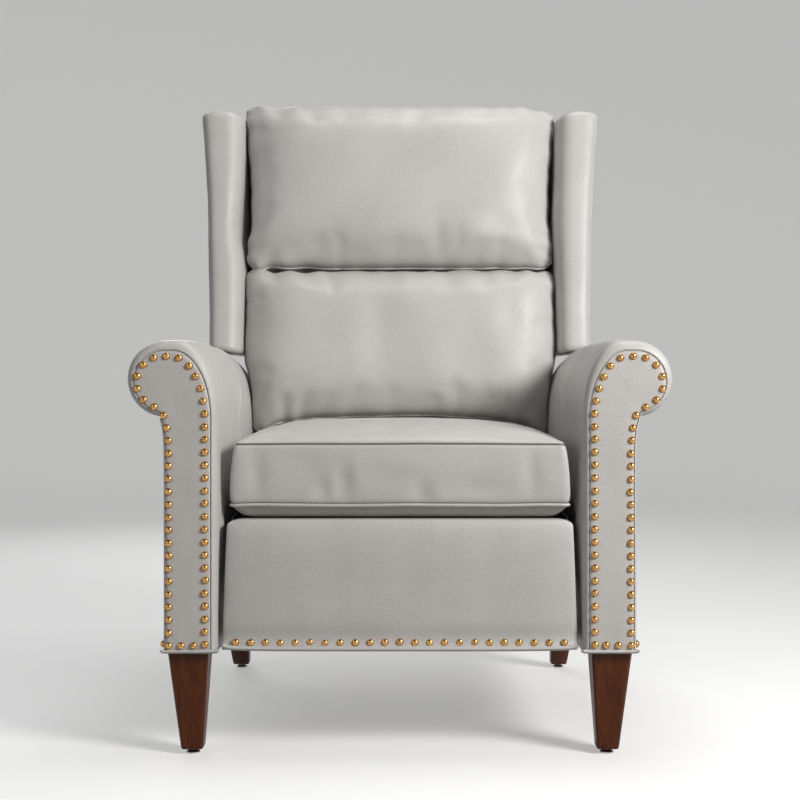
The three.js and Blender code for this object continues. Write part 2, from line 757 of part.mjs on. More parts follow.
const seatCushionRing = roundedRing(seatCushionHalfWidth, (seatCushionBackY - seatCushionFrontY) / 2,
  seatCushionCorner, seatCushionSideSteps, cushionCornerSteps);
piece("seat_cushion", loft(seatCushionRows.map(([share, z, swell]) => seatCushionRing.map(([x, y]) =>
  new THREE.Vector3(x * share * swell, seatMiddleY + y * share * Math.min(swell, 1), z)))), leather);

// The back leans on its hinge. Inside this group Y is square to the back and Z runs up along it.
const back = new THREE.Group();
const lean = radians(leanDegrees);
back.position.set(0, hingeY, hingeZ);
back.rotation.x = -lean;
recliner.add(back);
const riseAt = (z, depth) => (z - hingeZ + depth * Math.sin(lean)) / Math.cos(lean);
const stileOuterX = outerTongLayer[0] - seatGap;
const stileInnerX = stileOuterX - stileThickness;

// Recline brackets: steel straps up the stiles, each with the pin of the recline hinge.
function reclineBracket(side) {
  const [inner, outer] = outerTongLayer;
  const bar = acrossX(strap([0, 0], [0, bracketLength], plateLobeRadius, bracketWidth / 2),
    side * inner, side * outer);
  const pin = pinX(side * inner, side * (plateLayer[1] + sideGap / 2), 0, 0, hingePinRadius);
  return joinAndCut([bar, pin]);
}

function backStile(side) {
  const round = (stileRear - stileFront) / 2;
  const outline = new THREE.Shape();
  outline.moveTo(stileRear, backTopRise);
  outline.lineTo(stileFront, backTopRise);
  outline.lineTo(stileFront, stileLow + round);
  outline.absarc(stileFront + round, stileLow + round, round, Math.PI, 2 * Math.PI, false);
  outline.closePath();
  return acrossX(outline, side * stileInnerX, side * stileOuterX);
}

for (const [word, side] of sides) {
  piece(`recline_bracket_${word}`, reclineBracket(side), steel, back);
  piece(`back_stile_${word}`, backStile(side), frameWood, back);
}
const betweenStiles = stileInnerX - seatGap;
piece("back_top_rail", board([-betweenStiles, stileFront, backTopRise - topRailHeight],
  [betweenStiles, stileRear, backTopRise]), frameWood, back);
piece("back_bottom_rail", board([-betweenStiles, bottomRailFront, bottomRailLow],
  [betweenStiles, stileRear, bottomRailLow + bottomRailHeight]), frameWood, back);

const upBack = new THREE.Vector3(0, 0, 1);
const backStrands = backSpringRise.map((rise) => sinuous(
  new THREE.Vector3(-betweenStiles + springWire, backSpringDepth, rise),
  new THREE.Vector3(betweenStiles - springWire, backSpringDepth, rise),
  upBack, springSwing, backSpringBends));
const backTies = backTieX.map((x) => wire(
  new THREE.Vector3(x, backSpringDepth, backSpringRise[0] - springSwing * 2),
  new THREE.Vector3(x, backSpringDepth, backSpringRise[backSpringRise.length - 1] + springSwing * 2)));
const springEnds = backSpringRise.flatMap((rise) => sides.map(([, side]) => wire(
  new THREE.Vector3(side * (betweenStiles - springWire * 2), backSpringDepth, rise),
  new THREE.Vector3(side * (betweenStiles - seatGap), backSpringDepth, rise))));
piece("back_springs", joinAndCut([...backStrands, ...backTies, ...springEnds]), springSteel, back);

const deckRear = stileFront - seatGap;
piece("back_deck", board([-stileOuterX, deckRear - deckThickness, deckLow],
  [stileOuterX, deckRear, backTopRise]), cloth, back);

// Outside back: narrow between the arms, and as wide as the wings above them.
const outsideFront = stileRear + seatGap;
const outsideRear = outsideFront + outsideBackThickness;
const outsideTop = riseAt(wingTopZ, outsideFront);
const outsideShoulder = riseAt(wingBottomZ + wingOuterRiseZ, outsideFront);
function outsideBackOutline() {
  const top = wingOuterX + wingOuterFlare - wingRearCorner / 2;
  const low = wingOuterX - wingRearCorner / 2;
  const cornerCut = outsideBackCorner * outsideBackRoundShare;
  const half = [
    [outsideBackHalfWidth, outsideBackLow],
    [outsideBackHalfWidth, outsideShoulder - wingOuterRiseZ],
    [low, outsideShoulder],
    [low + wingOuterFlare * outsideBackRoundShare, (outsideShoulder + outsideTop) / 2],
    [top, outsideTop - outsideBackCorner],
    [top - cornerCut, outsideTop - cornerCut],
    [top - outsideBackCorner, outsideTop],
  ];
  const mirrored = half.map(([x, z]) => [-x, z]).reverse();
  return polygon([...half, ...mirrored]);
}
piece("outside_back", alongY(outsideBackOutline(), outsideFront, outsideRear), leather, back);

// Wings: padded, flared outwards towards the top, with a round nose.
function wingSection(levelShare, inset) {
  const flare = levelShare ** wingFlarePower;
  const inner = wingInnerX + wingInnerFlare * flare;
  const outer = wingOuterX + wingOuterFlare * flare;
  const noseStart = wingFront + wingNose;
  const ring = [
    [stileOuterX + seatGap, stileRear],
    [outer - wingRearCorner, stileRear],
    [outer - wingRearCorner / 4, stileRear - wingRearCorner / 3],
    [outer, stileRear - wingRearCorner],
    [outer, (stileRear + noseStart) / 2],
  ];
  const middle = (inner + outer) / 2;
  for (let step = 0; step <= curveSteps; step += 1) {
    const angle = step / curveSteps * Math.PI;
    ring.push([middle + (outer - inner) / 2 * Math.cos(angle), noseStart - wingNose * Math.sin(angle)]);
  }
  ring.push([inner, (deckRear + noseStart) / 2]);
  ring.push([inner, deckRear - wingRearCorner]);
  ring.push([stileOuterX + seatGap, deckRear]);
  const centreX = middle;
  const centreY = (stileRear + wingFront) / 2;
  const shrinkX = 1 - inset * wingRound / (outer - inner) * 2;
  const shrinkY = 1 - inset * wingRound / (stileRear - wingFront) * 2;
  return ring.map(([x, y]) => [
    x < inner ? x : centreX + (x - centreX) * shrinkX,
    centreY + (y - centreY) * shrinkY]);
}

function wing(side) {
  const rings = wingLevelShares.map(([levelShare, inset]) => wingSection(levelShare, inset).map(([x, y]) => {
    const outward = Math.max(0, (x - wingInnerX) / (wingOuterX - wingInnerX));
    const lowZ = wingBottomZ + wingOuterRiseZ * Math.min(1, outward);
    const z = lowZ + (wingTopZ - lowZ) * levelShare;
    return new THREE.Vector3(side * x, y, riseAt(z, y));
  }));
  return loft(rings);
}
for (const [word, side] of sides) {
  piece(`wing_${word}`, wing(side), leather, back);
}

// Pillows: a flat rear on the deck, a widest edge, and a crown towards the sitter.
// Each row is [share of the outline, share of the way from the rear to the crown].
const pillowEdgeShare = (pillowRear - pillowEdge) / (pillowRear - pillowCrown);
const pillowRowShares = [[0.3, 0], [0.86, 0], [0.97, pillowEdgeShare / 2], [1, pillowEdgeShare],
  [0.975, 0.645], [0.9, 0.86], [0.72, 0.955], [0.45, 0.99], [0.18, 1]];
function pillow(low, high, topHalfWidth, footHalfWidth) {
  const middle = (low + high) / 2;
  const ring = roundedRing(topHalfWidth, (high - low) / 2, pillowCorner, pillowSideSteps,
    cushionCornerSteps);
  return loft(pillowRowShares.map(([share, depthShare]) => ring.map(([x, rise]) => {
    const foot = Math.max(0, -rise / (high - low) * 2);
    const narrowing = 1 - (1 - footHalfWidth / topHalfWidth) * foot;
    return new THREE.Vector3(x * share * narrowing, pillowRear + (pillowCrown - pillowRear) * depthShare,
      middle + rise * share);
  })));
}
piece("head_pillow", pillow(headPillowLow, headPillowHigh, headPillowHalfWidth, headPillowHalfWidth),
  leather, back);
piece("lumbar_pillow", pillow(lumbarPillowLow, lumbarPillowHigh, lumbarPillowHalfWidth,
  lumbarPillowFootHalfWidth), leather, back);

// Footrest: a padded cover with rounded edges on a board.
function footrestRing(inset, y) {
  const middleZ = (footrestTopZ + footrestBottomZ) / 2;
  const halfHeight = (footrestTopZ - footrestBottomZ) / 2;
  const middleHalf = (footrestTopHalfWidth + footrestBottomHalfWidth) / 2;
  const flare = (footrestBottomHalfWidth - footrestTopHalfWidth) / 2;
  return roundedRing(middleHalf - inset, halfHeight - inset, footrestCorner, 4, 3).map(([x, z]) =>
    new THREE.Vector3(x * (1 - flare / middleHalf * z / halfHeight), y, middleZ + z));
}
const footrestPadBackY = footrestFrontY + footrestPadThickness;
piece("footrest_cover", loft([
  footrestRing(0, footrestPadBackY),
  footrestRing(0, footrestFrontY + footrestRound),
  footrestRing(footrestRound * 0.3, footrestFrontY + footrestRound * 0.3),
  footrestRing(footrestRound, footrestFrontY),
]), leather);

const footrestBoardFrontY = footrestPadBackY + seatGap;
const footrestBoardBackY = footrestBoardFrontY + footrestBoardThickness;
const footrestBoardHalf = footrestTopHalfWidth - footrestBoardMargin;
piece("footrest_board", board(
  [-footrestBoardHalf, footrestBoardFrontY, footrestBottomZ + footrestBoardMargin],
  [footrestBoardHalf, footrestBoardBackY, footrestTopZ - footrestBoardMargin]), frameWood);

// Lazy tongs. The first family of links leans forwards from the pivot at the side plate, the second
// crosses it, and both turn by the same angle, so the pins that join them keep a straight line.
const tongAngle = radians(tongAngleDegrees);
const tongTilt = radians(tongTiltDegrees);
const firstWay = [-Math.sin(tongAngle + tongTilt), -Math.cos(tongAngle + tongTilt)];
const secondWay = [-Math.sin(tongAngle - tongTilt), Math.cos(tongAngle - tongTilt)];
const step = (from, way, length) => [from[0] + way[0] * length, from[1] + way[1] * length];
const tongRoot = [tongPivotY, tongPivotZ];
const leadMiddle = step(tongRoot, firstWay, tongHalf);
const leadEnd = step(leadMiddle, firstWay, tongHalf);
const mainTop = step(leadMiddle, secondWay, tongHalf);
const mainMiddle = step(mainTop, firstWay, tongHalf);
const mainEnd = step(mainMiddle, firstWay, tongHalf);
const crossTop = step(mainMiddle, secondWay, tongHalf);
const footPivot = step(mainEnd, secondWay, tongHalf);

function tongLink(side, layer, from, to, pins, pinEnd, bores) {
  const [inner, outer] = layer;
  const bar = acrossX(strap(from, to, tongWidth / 2, tongWidth / 2), side * inner, side * outer);
  const pinParts = pins.map((at) => pinX(side * inner, side * pinEnd, ...at, tongPinRadius));
  const holes = bores.map((at) => boreX(side * (inner - overrun), side * (outer + overrun), ...at,
    tongPinRadius));
  return joinAndCut([bar, ...pinParts], holes);
}

function footrestBracket(side) {
  const [inner, outer] = outerTongLayer;
  const web = acrossX(strap(crossTop, footPivot, tongWidth / 2, tongWidth / 2), side * inner, side * outer);
  const faceY = footrestBoardBackY + seatGap;
  const toBoard = acrossX(polygon([[crossTop[0], crossTop[1] + tongWidth / 2], crossTop, footPivot,
    [footPivot[0], footPivot[1] - tongWidth / 2], [faceY, footPivot[1] - tongWidth / 2],
    [faceY, crossTop[1] - tongWidth / 2]]), side * inner, side * outer);
  const flangeXs = [side * (inner - footrestFlange), side * outer];
  const flange = board([Math.min(...flangeXs), faceY, footPivot[1] - tongWidth / 2],
    [Math.max(...flangeXs), faceY + footrestBracketPlate, crossTop[1] - tongWidth / 2]);
  const holes = [crossTop, footPivot].map((at) => boreX(side * (inner - overrun),
    side * (outer + overrun), ...at, tongPinRadius));
  return joinAndCut([web, toBoard, flange], holes);
}

const toOuterFace = outerTongLayer[1] + seatGap;
const toPlateFace = plateLayer[1] - seatGap;
for (const [word, side] of sides) {
  piece(`tong_lead_link_${word}`, tongLink(side, outerTongLayer, tongRoot, leadEnd,
    [tongRoot], toPlateFace, [leadMiddle, leadEnd]), steel);
  piece(`tong_short_link_${word}`, tongLink(side, innerTongLayer, leadMiddle, mainTop,
    [leadMiddle, mainTop], toOuterFace, []), steel);
  piece(`tong_cross_link_${word}`, tongLink(side, innerTongLayer, leadEnd, crossTop,
    [leadEnd, mainMiddle, crossTop], toOuterFace, []), steel);
  piece(`tong_main_link_${word}`, tongLink(side, outerTongLayer, mainTop, mainEnd,
    [], toOuterFace, [mainTop, mainMiddle, mainEnd]), steel);
  piece(`tong_end_link_${word}`, tongLink(side, innerTongLayer, mainEnd, footPivot,
    [mainEnd, footPivot], toOuterFace, []), steel);
  piece(`footrest_bracket_${word}`, footrestBracket(side), steel);
}

// Put the origin on the floor under the middle of the chair, and print where the joints turn.
recliner.updateMatrixWorld(true);
const whole = new THREE.Box3().setFromObject(recliner, true);
const middleY = (whole.min.y + whole.max.y) / 2;
recliner.position.set(0, -middleY, -whole.min.z);
recliner.updateMatrixWorld(true);

const jointPlaces = {
  recline_hinge: [hingeY, hingeZ],
  front_swing_base: [swingFrontY, swingPivotZ],
  rear_swing_base: [swingRearY, swingPivotZ],
  rear_swing_seat: swingTop(swingRearY),
  tong_lead: tongRoot,
  tong_short: leadMiddle,
  tong_cross: leadEnd,
  tong_main: mainMiddle,
  tong_end: mainEnd,
  footrest: crossTop,
  front_glide: [frontLegFoot.y, 0],
  rear_glide: [rearLegFoot.y, 0],
};
for (const [name, [y, z]] of Object.entries(jointPlaces)) {
  console.log(name, ((y - middleY) / 1000).toFixed(6), ((z - whole.min.z) / 1000).toFixed(6));
}
const wholeSize = whole.getSize(new THREE.Vector3());
console.log("size", wholeSize.toArray().map((value) => value.toFixed(1)).join(" x "));

export default recliner;
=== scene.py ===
# %% [markdown]
# # A wingback recliner in leather
#
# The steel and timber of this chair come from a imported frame: rails, links, springs, legs. This script
# dresses that frame. Each cell builds one part of the upholstery as a surface worked out with numpy,
# or one finish as a node material, and prints what it made.
#
# Upholsterers measure from the middle of the chair, from the front of the arms and from the floor, in
# millimetres. So do the shape functions here. One helper turns those places into the frame's metres.

import json
import math

import bmesh
import bpy
import numpy as np
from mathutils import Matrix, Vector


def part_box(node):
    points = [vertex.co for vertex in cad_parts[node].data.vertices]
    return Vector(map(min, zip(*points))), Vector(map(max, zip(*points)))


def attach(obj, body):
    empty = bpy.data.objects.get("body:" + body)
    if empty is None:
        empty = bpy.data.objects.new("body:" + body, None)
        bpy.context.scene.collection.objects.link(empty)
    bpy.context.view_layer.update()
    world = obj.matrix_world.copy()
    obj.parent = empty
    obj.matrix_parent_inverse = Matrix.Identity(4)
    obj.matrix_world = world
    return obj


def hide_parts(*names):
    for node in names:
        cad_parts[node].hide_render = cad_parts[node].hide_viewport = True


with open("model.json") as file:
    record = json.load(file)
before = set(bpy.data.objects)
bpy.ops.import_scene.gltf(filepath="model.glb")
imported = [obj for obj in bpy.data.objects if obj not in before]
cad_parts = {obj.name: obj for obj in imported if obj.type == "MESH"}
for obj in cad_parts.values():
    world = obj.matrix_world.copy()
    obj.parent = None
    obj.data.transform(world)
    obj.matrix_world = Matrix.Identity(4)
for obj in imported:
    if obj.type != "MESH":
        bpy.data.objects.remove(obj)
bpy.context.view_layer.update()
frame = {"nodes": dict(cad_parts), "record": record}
front_of_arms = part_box("arm_facing_left")[0][1]
sides = (("left", -1), ("right", 1))
print("frame with", len(frame["nodes"]), "nodes; front of the arms at y =", round(front_of_arms, 4))

# %% [markdown]
# ## From surfaces to meshes
#
# Nearly every cover is a grid of points: rows one way, columns the other. A grid could be drawn face
# by face, but whole arrays are quicker and easier to check. The helper joins neighbours into quads and
# welds the places where a row shrinks to a line or a point, so that each shell is closed.

# %% Places, grids and meshes
def place(points):
    """Millimetres from the middle, the front of the arms and the floor, as the frame's metres."""
    return np.asarray(points, float) / 1000 + np.array([0, front_of_arms, 0])


def grid_faces(rows, columns, around=True, start=0):
    """Quads between neighbouring rows. The columns close into a ring if around is true."""
    row = np.arange(rows - 1)[:, None]
    column = np.arange(columns if around else columns - 1)[None, :]
    following = (column + 1) % columns
    corners = [row * columns + column, row * columns + following,
               (row + 1) * columns + following, (row + 1) * columns + column]
    return np.stack(corners, axis=-1).reshape(-1, 4) + start


weld_distance = 1e-5


def new_piece(name, points, faces, material, crease_degrees=40, seam=None):
    """A closed, outward-facing, smooth mesh. seam is a weight from 0 to 1 on each point; the leather
    darkens by it as painted shade in the stitched valleys.
    """
    mesh = bpy.data.meshes.new(name)
    mesh.from_pydata(place(points).reshape(-1, 3).tolist(), [], faces.tolist())
    if seam is not None:
        mesh.attributes.new("seam", "FLOAT", "POINT").data.foreach_set("value", np.ravel(seam))
    working = bmesh.new()
    working.from_mesh(mesh)
    bmesh.ops.remove_doubles(working, verts=working.verts, dist=weld_distance)
    bmesh.ops.dissolve_degenerate(working, edges=working.edges, dist=weld_distance)
    bmesh.ops.recalc_face_normals(working, faces=working.faces)
    working.to_mesh(mesh)
    working.free()
    mesh.shade_smooth()
    mesh.set_sharp_from_angle(angle=math.radians(crease_degrees))
    mesh.materials.append(material)
    piece = bpy.data.objects.new(name, mesh)
    bpy.context.scene.collection.objects.link(piece)
    return piece


def grid_piece(name, grid, material, seam=None):
    """A piece made of one grid whose columns close into rings."""
    return new_piece(name, grid, grid_faces(*grid.shape[:2]), material, seam=seam)


def dress(piece, body, slot, *nodes, fill=None):
    """Tell the frame which body carries a piece, and hide the plain solids it stands for. slot, its
    finish, is not used.
    """
    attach(piece, body)
    if nodes:
        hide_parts(*nodes)
    print(piece.name, "with", len(piece.data.polygons), "faces rides on", body)


# %% [markdown]
# ## Curves to carry along
#
# Three small tools come back again and again: a smooth curve through a few known heights, points
# spread evenly along a line, and a gentle ripple that stands for hand-stuffed padding. The ripple is a
# sum of sine waves with fixed directions, so it is the same in every run.

# %% Smooth curves, even spacing and ripples
def smooth_through(known, values, at):
    """A curve through known points that never overshoots them: cubic pieces between clamped slopes."""
    known, values, at = (np.asarray(item, float) for item in (known, values, at))
    run = np.diff(known)
    slope = np.diff(values) / run
    inner = np.where(slope[1:] * slope[:-1] > 0,
                     2 * slope[1:] * slope[:-1] / (slope[1:] + slope[:-1] + 1e-12), 0)
    slopes = np.concatenate([slope[:1], inner, slope[-1:]])
    place_in = np.clip(np.searchsorted(known, at) - 1, 0, len(run) - 1)
    width = run[place_in]
    share = (at - known[place_in]) / width
    low, high = values[place_in], values[place_in + 1]
    return (low * (1 + 2 * share) * (1 - share) ** 2 + high * share ** 2 * (3 - 2 * share)
            + width * (slopes[place_in] * share * (1 - share) ** 2
                       - slopes[place_in + 1] * share ** 2 * (1 - share)))


def line(start, end, count):
    """count points from start up to, but without, end."""
    share = np.arange(count)[:, None] / count
    return np.asarray(start, float) * (1 - share) + np.asarray(end, float) * share


def arc(centre, radii, start_degrees, end_degrees, count):
    """count points on an ellipse: centre plus radii times the cosine and the sine of the angle."""
    angle = np.radians(np.linspace(start_degrees, end_degrees, count, endpoint=False))
    return np.stack([centre[0] + radii[0] * np.cos(angle),
                     centre[1] + radii[1] * np.sin(angle)], axis=-1)


def spaced(path, pitch, closed=False):
    """Points about a pitch apart, measured along the length of a path."""
    path = np.asarray(path, float)
    if closed:
        path = np.vstack([path, path[:1]])
    length = np.concatenate([[0], np.cumsum(np.linalg.norm(np.diff(path, axis=0), axis=1))])
    count = max(2, int(round(length[-1] / pitch)) + (0 if closed else 1))
    marks = np.linspace(0, length[-1], count, endpoint=not closed)
    return np.stack([np.interp(marks, length, path[:, axis]) for axis in range(path.shape[1])], axis=-1)


ripple_waves = 7


def ripple(points, wavelength, seed):
    """Soft unevenness between about -1 and 1: sine waves in seeded directions, added up."""
    dice = np.random.default_rng(seed)
    ways = dice.normal(size=(ripple_waves, 3))
    ways *= (2 * np.pi / wavelength * dice.uniform(0.7, 1.4, size=(ripple_waves, 1))
             / np.linalg.norm(ways, axis=1, keepdims=True))
    phases = dice.uniform(0, 2 * np.pi, size=ripple_waves)
    heights = np.sin(np.asarray(points, float) @ ways.T + phases).sum(axis=-1)
    return heights / math.sqrt(ripple_waves) / 1.4


print("helpers ready; ripple at the floor:", round(float(ripple([[0, 0, 0]], 100, 1)[0]), 3))

# %% [markdown]
# ## Nodes in few words
#
# A material is a small tree of nodes. These helpers write one node as one call, with a value or a link
# for each input, so that the trees below read from top to bottom. Effects that several finishes share
# are groups with named inputs.

# %% Helpers for node trees
def bare_material(name):
    """A new material, its node tree and its Principled shader."""
    material = bpy.data.materials.new(name)
    material.use_nodes = True
    return material, material.node_tree, material.node_tree.nodes["Principled BSDF"]


def effect_group(name, inputs, outputs):
    """An empty shader group. inputs are (name, kind, default), outputs are (name, kind)."""
    group = bpy.data.node_groups.new(name, "ShaderNodeTree")
    for title, kind, default in inputs:
        socket = group.interface.new_socket(name=title, in_out="INPUT", socket_type=kind)
        if default is not None:
            socket.default_value = default
    for title, kind in outputs:
        group.interface.new_socket(name=title, in_out="OUTPUT", socket_type=kind)
    return group, group.nodes.new("NodeGroupInput"), group.nodes.new("NodeGroupOutput")


def feed(tree, target, **wires):
    """A value or a link for each named input of a node: _ stands for a space, _0 for the first."""
    for key, value in wires.items():
        numbered = key[1:].isdigit()
        socket = target.inputs[int(key[1:]) if numbered else key.replace("_", " ")]
        if isinstance(value, bpy.types.NodeSocket):
            tree.links.new(value, socket)
        else:
            socket.default_value = value
    return target


def node(tree, kind, settings=None, **wires):
    """A new node with its settings and its inputs."""
    made = tree.nodes.new(kind)
    for key, value in (settings or {}).items():
        setattr(made, key, value)
    return feed(tree, made, **wires)


def maths(tree, operation, *values):
    """The output of a math node such as MULTIPLY, ADD, MAXIMUM or MULTIPLY_ADD."""
    wires = {f"_{number}": value for number, value in enumerate(values)}
    return node(tree, "ShaderNodeMath", {"operation": operation}, **wires).outputs[0]


def blend_colours(tree, factor, first, second):
    """Two colours mixed by a factor, which may be a value or a link."""
    return node(tree, "ShaderNodeMix", {"data_type": "RGBA"}, _0=factor, _6=first, _7=second).outputs[2]


def span(tree, value, low, high, new_low, new_high):
    """A value carried from one range to another, held at its ends."""
    return node(tree, "ShaderNodeMapRange", Value=value, From_Min=low, From_Max=high,
                To_Min=new_low, To_Max=new_high).outputs["Result"]


print("node helpers ready")

# %% [markdown]
# ## Studio
#
# The chair stands on a pale, plain floor that curves up into a pale wall on all sides, so no view
# shows a horizon. The floor throws less light back than its looks suggest, which keeps the shade under
# the chair. The camera stands level in front, a little above the seat. Soft lamps stand to the right,
# to the left, overhead and at the rear.

# %% Stage, camera and lamps
def lathe(profile, turns):
    """A profile of (radius, height) carried once around the upright axis."""
    angle = np.linspace(0, 2 * np.pi, turns, endpoint=False)
    radius, height = profile[:, :1], profile[:, 1:]
    return np.stack([radius * np.cos(angle), radius * np.sin(angle),
                     height * np.ones_like(angle)], axis=-1)


def stage_material(name, seen, bounced, roughness, glow):
    """One colour and an even glow. It is pale where it is seen, also in a reflection, and darker
    where it only throws light back, so that the undersides keep their shade."""
    material, tree, shader = bare_material(name)
    rays = node(tree, "ShaderNodeLightPath")
    weight = rays.outputs["Is Camera Ray"]
    for kind in ("Is Glossy Ray", "Is Transmission Ray"):
        weight = maths(tree, "MAXIMUM", weight, rays.outputs[kind])
    colour = blend_colours(tree, weight, (*bounced, 1), (*seen, 1))
    feed(tree, shader, Base_Color=colour, Emission_Color=colour, Roughness=roughness,
         Emission_Strength=glow)
    return material


floor_radius = 5200
cove_radius = 1500
wall_height = 4600
cove = np.radians(np.linspace(-90, 0, 16))
cove_curve = np.stack([floor_radius + cove_radius * np.cos(cove),
                       cove_radius + cove_radius * np.sin(cove)], axis=-1)
stage_profile = np.vstack([[[1, 0]], cove_curve, [[floor_radius + cove_radius, wall_height]]])
seen_grey, bounced_grey = (0.6, 0.6, 0.597), (0.14, 0.14, 0.14)
studio = grid_piece("studio_floor", lathe(stage_profile, 72),
                    stage_material("pale_studio", seen_grey, bounced_grey, roughness=0.9, glow=0.6))

camera_distance = 2194
camera_height = 554
focal_length = 64.1
film_width = 36
camera_data = bpy.data.cameras.new("camera")
camera_data.lens = focal_length
camera_data.sensor_width = film_width
camera = bpy.data.objects.new("camera", camera_data)
camera.location = place([0, -camera_distance, camera_height])
camera.rotation_euler = (math.radians(90), 0, 0)
bpy.context.scene.collection.objects.link(camera)
bpy.context.scene.camera = camera
bpy.context.scene.view_settings.view_transform = "Standard"


def soft_lamp(name, at, aim, size, watts, colour=(1, 1, 1)):
    """A square area lamp at one place, turned to face another. Places are in metres."""
    data = bpy.data.lights.new(name, "AREA")
    data.shape = "SQUARE"
    data.size = size
    data.energy = watts
    data.color = colour
    lamp = bpy.data.objects.new(name, data)
    lamp.location = at
    way = np.subtract(at, aim)
    lamp.rotation_euler = (math.atan2(math.hypot(way[0], way[1]), way[2]), 0,
                           math.atan2(way[0], -way[1]))
    bpy.context.scene.collection.objects.link(lamp)


soft_lamp("key_right", (1.85, -1.85, 1.65), (0, 0, 0.7), 0.8, 81, (1, 0.99, 0.97))
soft_lamp("fill_left", (-2.3, -1.9, 1.6), (0, 0, 0.6), 1.4, 12, (0.97, 0.98, 1))
soft_lamp("overhead", (0.3, 0.1, 3.0), (0, 0, 0.6), 1.2, 24)
soft_lamp("rear", (-1.2, 2.8, 2.2), (0, 0, 0.7), 1.6, 24)

world = bpy.data.worlds.new("studio_air")
bpy.context.scene.world = world
world.use_nodes = True
sky = world.node_tree
rays = node(sky, "ShaderNodeLightPath")
air_lit, air_seen = 0.14, 0.9
strength = node(sky, "ShaderNodeMix", {"data_type": "FLOAT"}, A=air_lit, B=air_seen,
                Factor=rays.outputs["Is Camera Ray"]).outputs["Result"]
feed(sky, sky.nodes["Background"], Color=(0.93, 0.93, 0.93, 1), Strength=strength)
print("camera at", [round(value, 3) for value in camera.location])

# %% [markdown]
# ## Finishes
#
# Real hide has pebbles a millimetre or two across, fine creases between them and cloudy changes of
# tone. Each effect is a node group with named inputs, so that leather, wood and metal can share them
# and keep values of their own. The groups read the piece's own place in space (Object coordinates),
# so nothing slides when the chair opens.
#
# The hide group makes two layers of pebbles from cell distances, breaks them with a slow noise that
# opens and closes the grain, and adds a cloudy change of tone. It puts out a colour, a roughness and
# a height, and leaves the shading to each material.

# %% Hide: pebbled grain and cloudy tone
hide_group, hide_in, hide_out = effect_group(
    "hide_grain",
    [("Vector", "NodeSocketVector", None), ("Pale", "NodeSocketColor", (1, 1, 1, 1)),
     ("Deep", "NodeSocketColor", (0, 0, 0, 1)), ("Pebbles", "NodeSocketFloat", 600),
     ("Cloudiness", "NodeSocketFloat", 0.5), ("Roughness", "NodeSocketFloat", 0.5)],
    [("Colour", "NodeSocketColor"), ("Roughness", "NodeSocketFloat"), ("Height", "NodeSocketFloat")])
wander = node(hide_group, "ShaderNodeTexNoise", Vector=hide_in.outputs["Vector"], Scale=60, Detail=3)
stray = node(hide_group, "ShaderNodeVectorMath", {"operation": "MULTIPLY_ADD"},
             _0=wander.outputs["Color"], _1=(0.0016, 0.0016, 0.0016), _2=hide_in.outputs["Vector"])
pebbles = node(hide_group, "ShaderNodeTexVoronoi", {"feature": "SMOOTH_F1"},
               Vector=stray.outputs["Vector"], Scale=hide_in.outputs["Pebbles"], Smoothness=0.35)
pore_count = maths(hide_group, "MULTIPLY", hide_in.outputs["Pebbles"], 2.3)
pores = node(hide_group, "ShaderNodeTexVoronoi", {"feature": "F1"},
             Vector=stray.outputs["Vector"], Scale=pore_count)
creases = node(hide_group, "ShaderNodeTexNoise", {"noise_type": "RIDGED_MULTIFRACTAL"},
               Vector=hide_in.outputs["Vector"], Scale=34, Detail=4, Roughness=0.55)
clouds = node(hide_group, "ShaderNodeTexNoise", Vector=hide_in.outputs["Vector"], Scale=7, Detail=5,
              Roughness=0.6)
pebble_height = span(hide_group, pebbles.outputs["Distance"], 0, 0.7, 1, 0)
pore_height = span(hide_group, pores.outputs["Distance"], 0, 0.8, 1, 0)
crease_height = span(hide_group, creases.outputs[0], 0.4, 1.6, 0.5, 0)
grain_sum = maths(hide_group, "MULTIPLY_ADD", pore_height, 0.35, pebble_height)
height_sum = maths(hide_group, "ADD", grain_sum, crease_height)
cloud_share = span(hide_group, clouds.outputs[0], 0.32, 0.68, -0.5, 0.5)
grain_share = span(hide_group, grain_sum, 0.1, 1.2, 0.3, 0.95)
tone = maths(hide_group, "MULTIPLY_ADD", cloud_share, hide_in.outputs["Cloudiness"], grain_share)
worn = maths(hide_group, "MULTIPLY_ADD", span(hide_group, clouds.outputs[0], 0.3, 0.7, 0.08, -0.08), 1,
            hide_in.outputs["Roughness"])
hide_colour = blend_colours(hide_group, tone, hide_in.outputs["Deep"], hide_in.outputs["Pale"])
feed(hide_group, hide_out, Colour=hide_colour, Roughness=worn, Height=height_sum)
print("hide group has", len(hide_group.nodes), "nodes")

# %% [markdown]
# Wood and metal share a second effect: streaks along one direction. Stretched noise gives the grain
# of stained wood, the brush marks of wire and the dull patches of old brass. A third group makes the
# weave of the black decking cloth behind the springs.

# %% Streaks and weave
streak_group, streak_in, streak_out = effect_group(
    "streaks",
    [("Vector", "NodeSocketVector", None), ("Stretch", "NodeSocketVector", (1, 1, 1)),
     ("Fineness", "NodeSocketFloat", 60), ("Dark", "NodeSocketColor", (0, 0, 0, 1)),
     ("Light", "NodeSocketColor", (1, 1, 1, 1)), ("Roughness", "NodeSocketFloat", 0.4)],
    [("Colour", "NodeSocketColor"), ("Roughness", "NodeSocketFloat"), ("Height", "NodeSocketFloat")])
drawn = node(streak_group, "ShaderNodeVectorMath", {"operation": "MULTIPLY"},
             _0=streak_in.outputs["Vector"], _1=streak_in.outputs["Stretch"])
broad = node(streak_group, "ShaderNodeTexNoise", Vector=drawn.outputs["Vector"],
             Scale=streak_in.outputs["Fineness"], Detail=6, Roughness=0.62, Distortion=0.6)
fine = node(streak_group, "ShaderNodeTexNoise", Vector=drawn.outputs["Vector"],
            Scale=maths(streak_group, "MULTIPLY", streak_in.outputs["Fineness"], 5), Detail=3)
both = maths(streak_group, "MULTIPLY_ADD", fine.outputs[0], 0.35, broad.outputs[0])
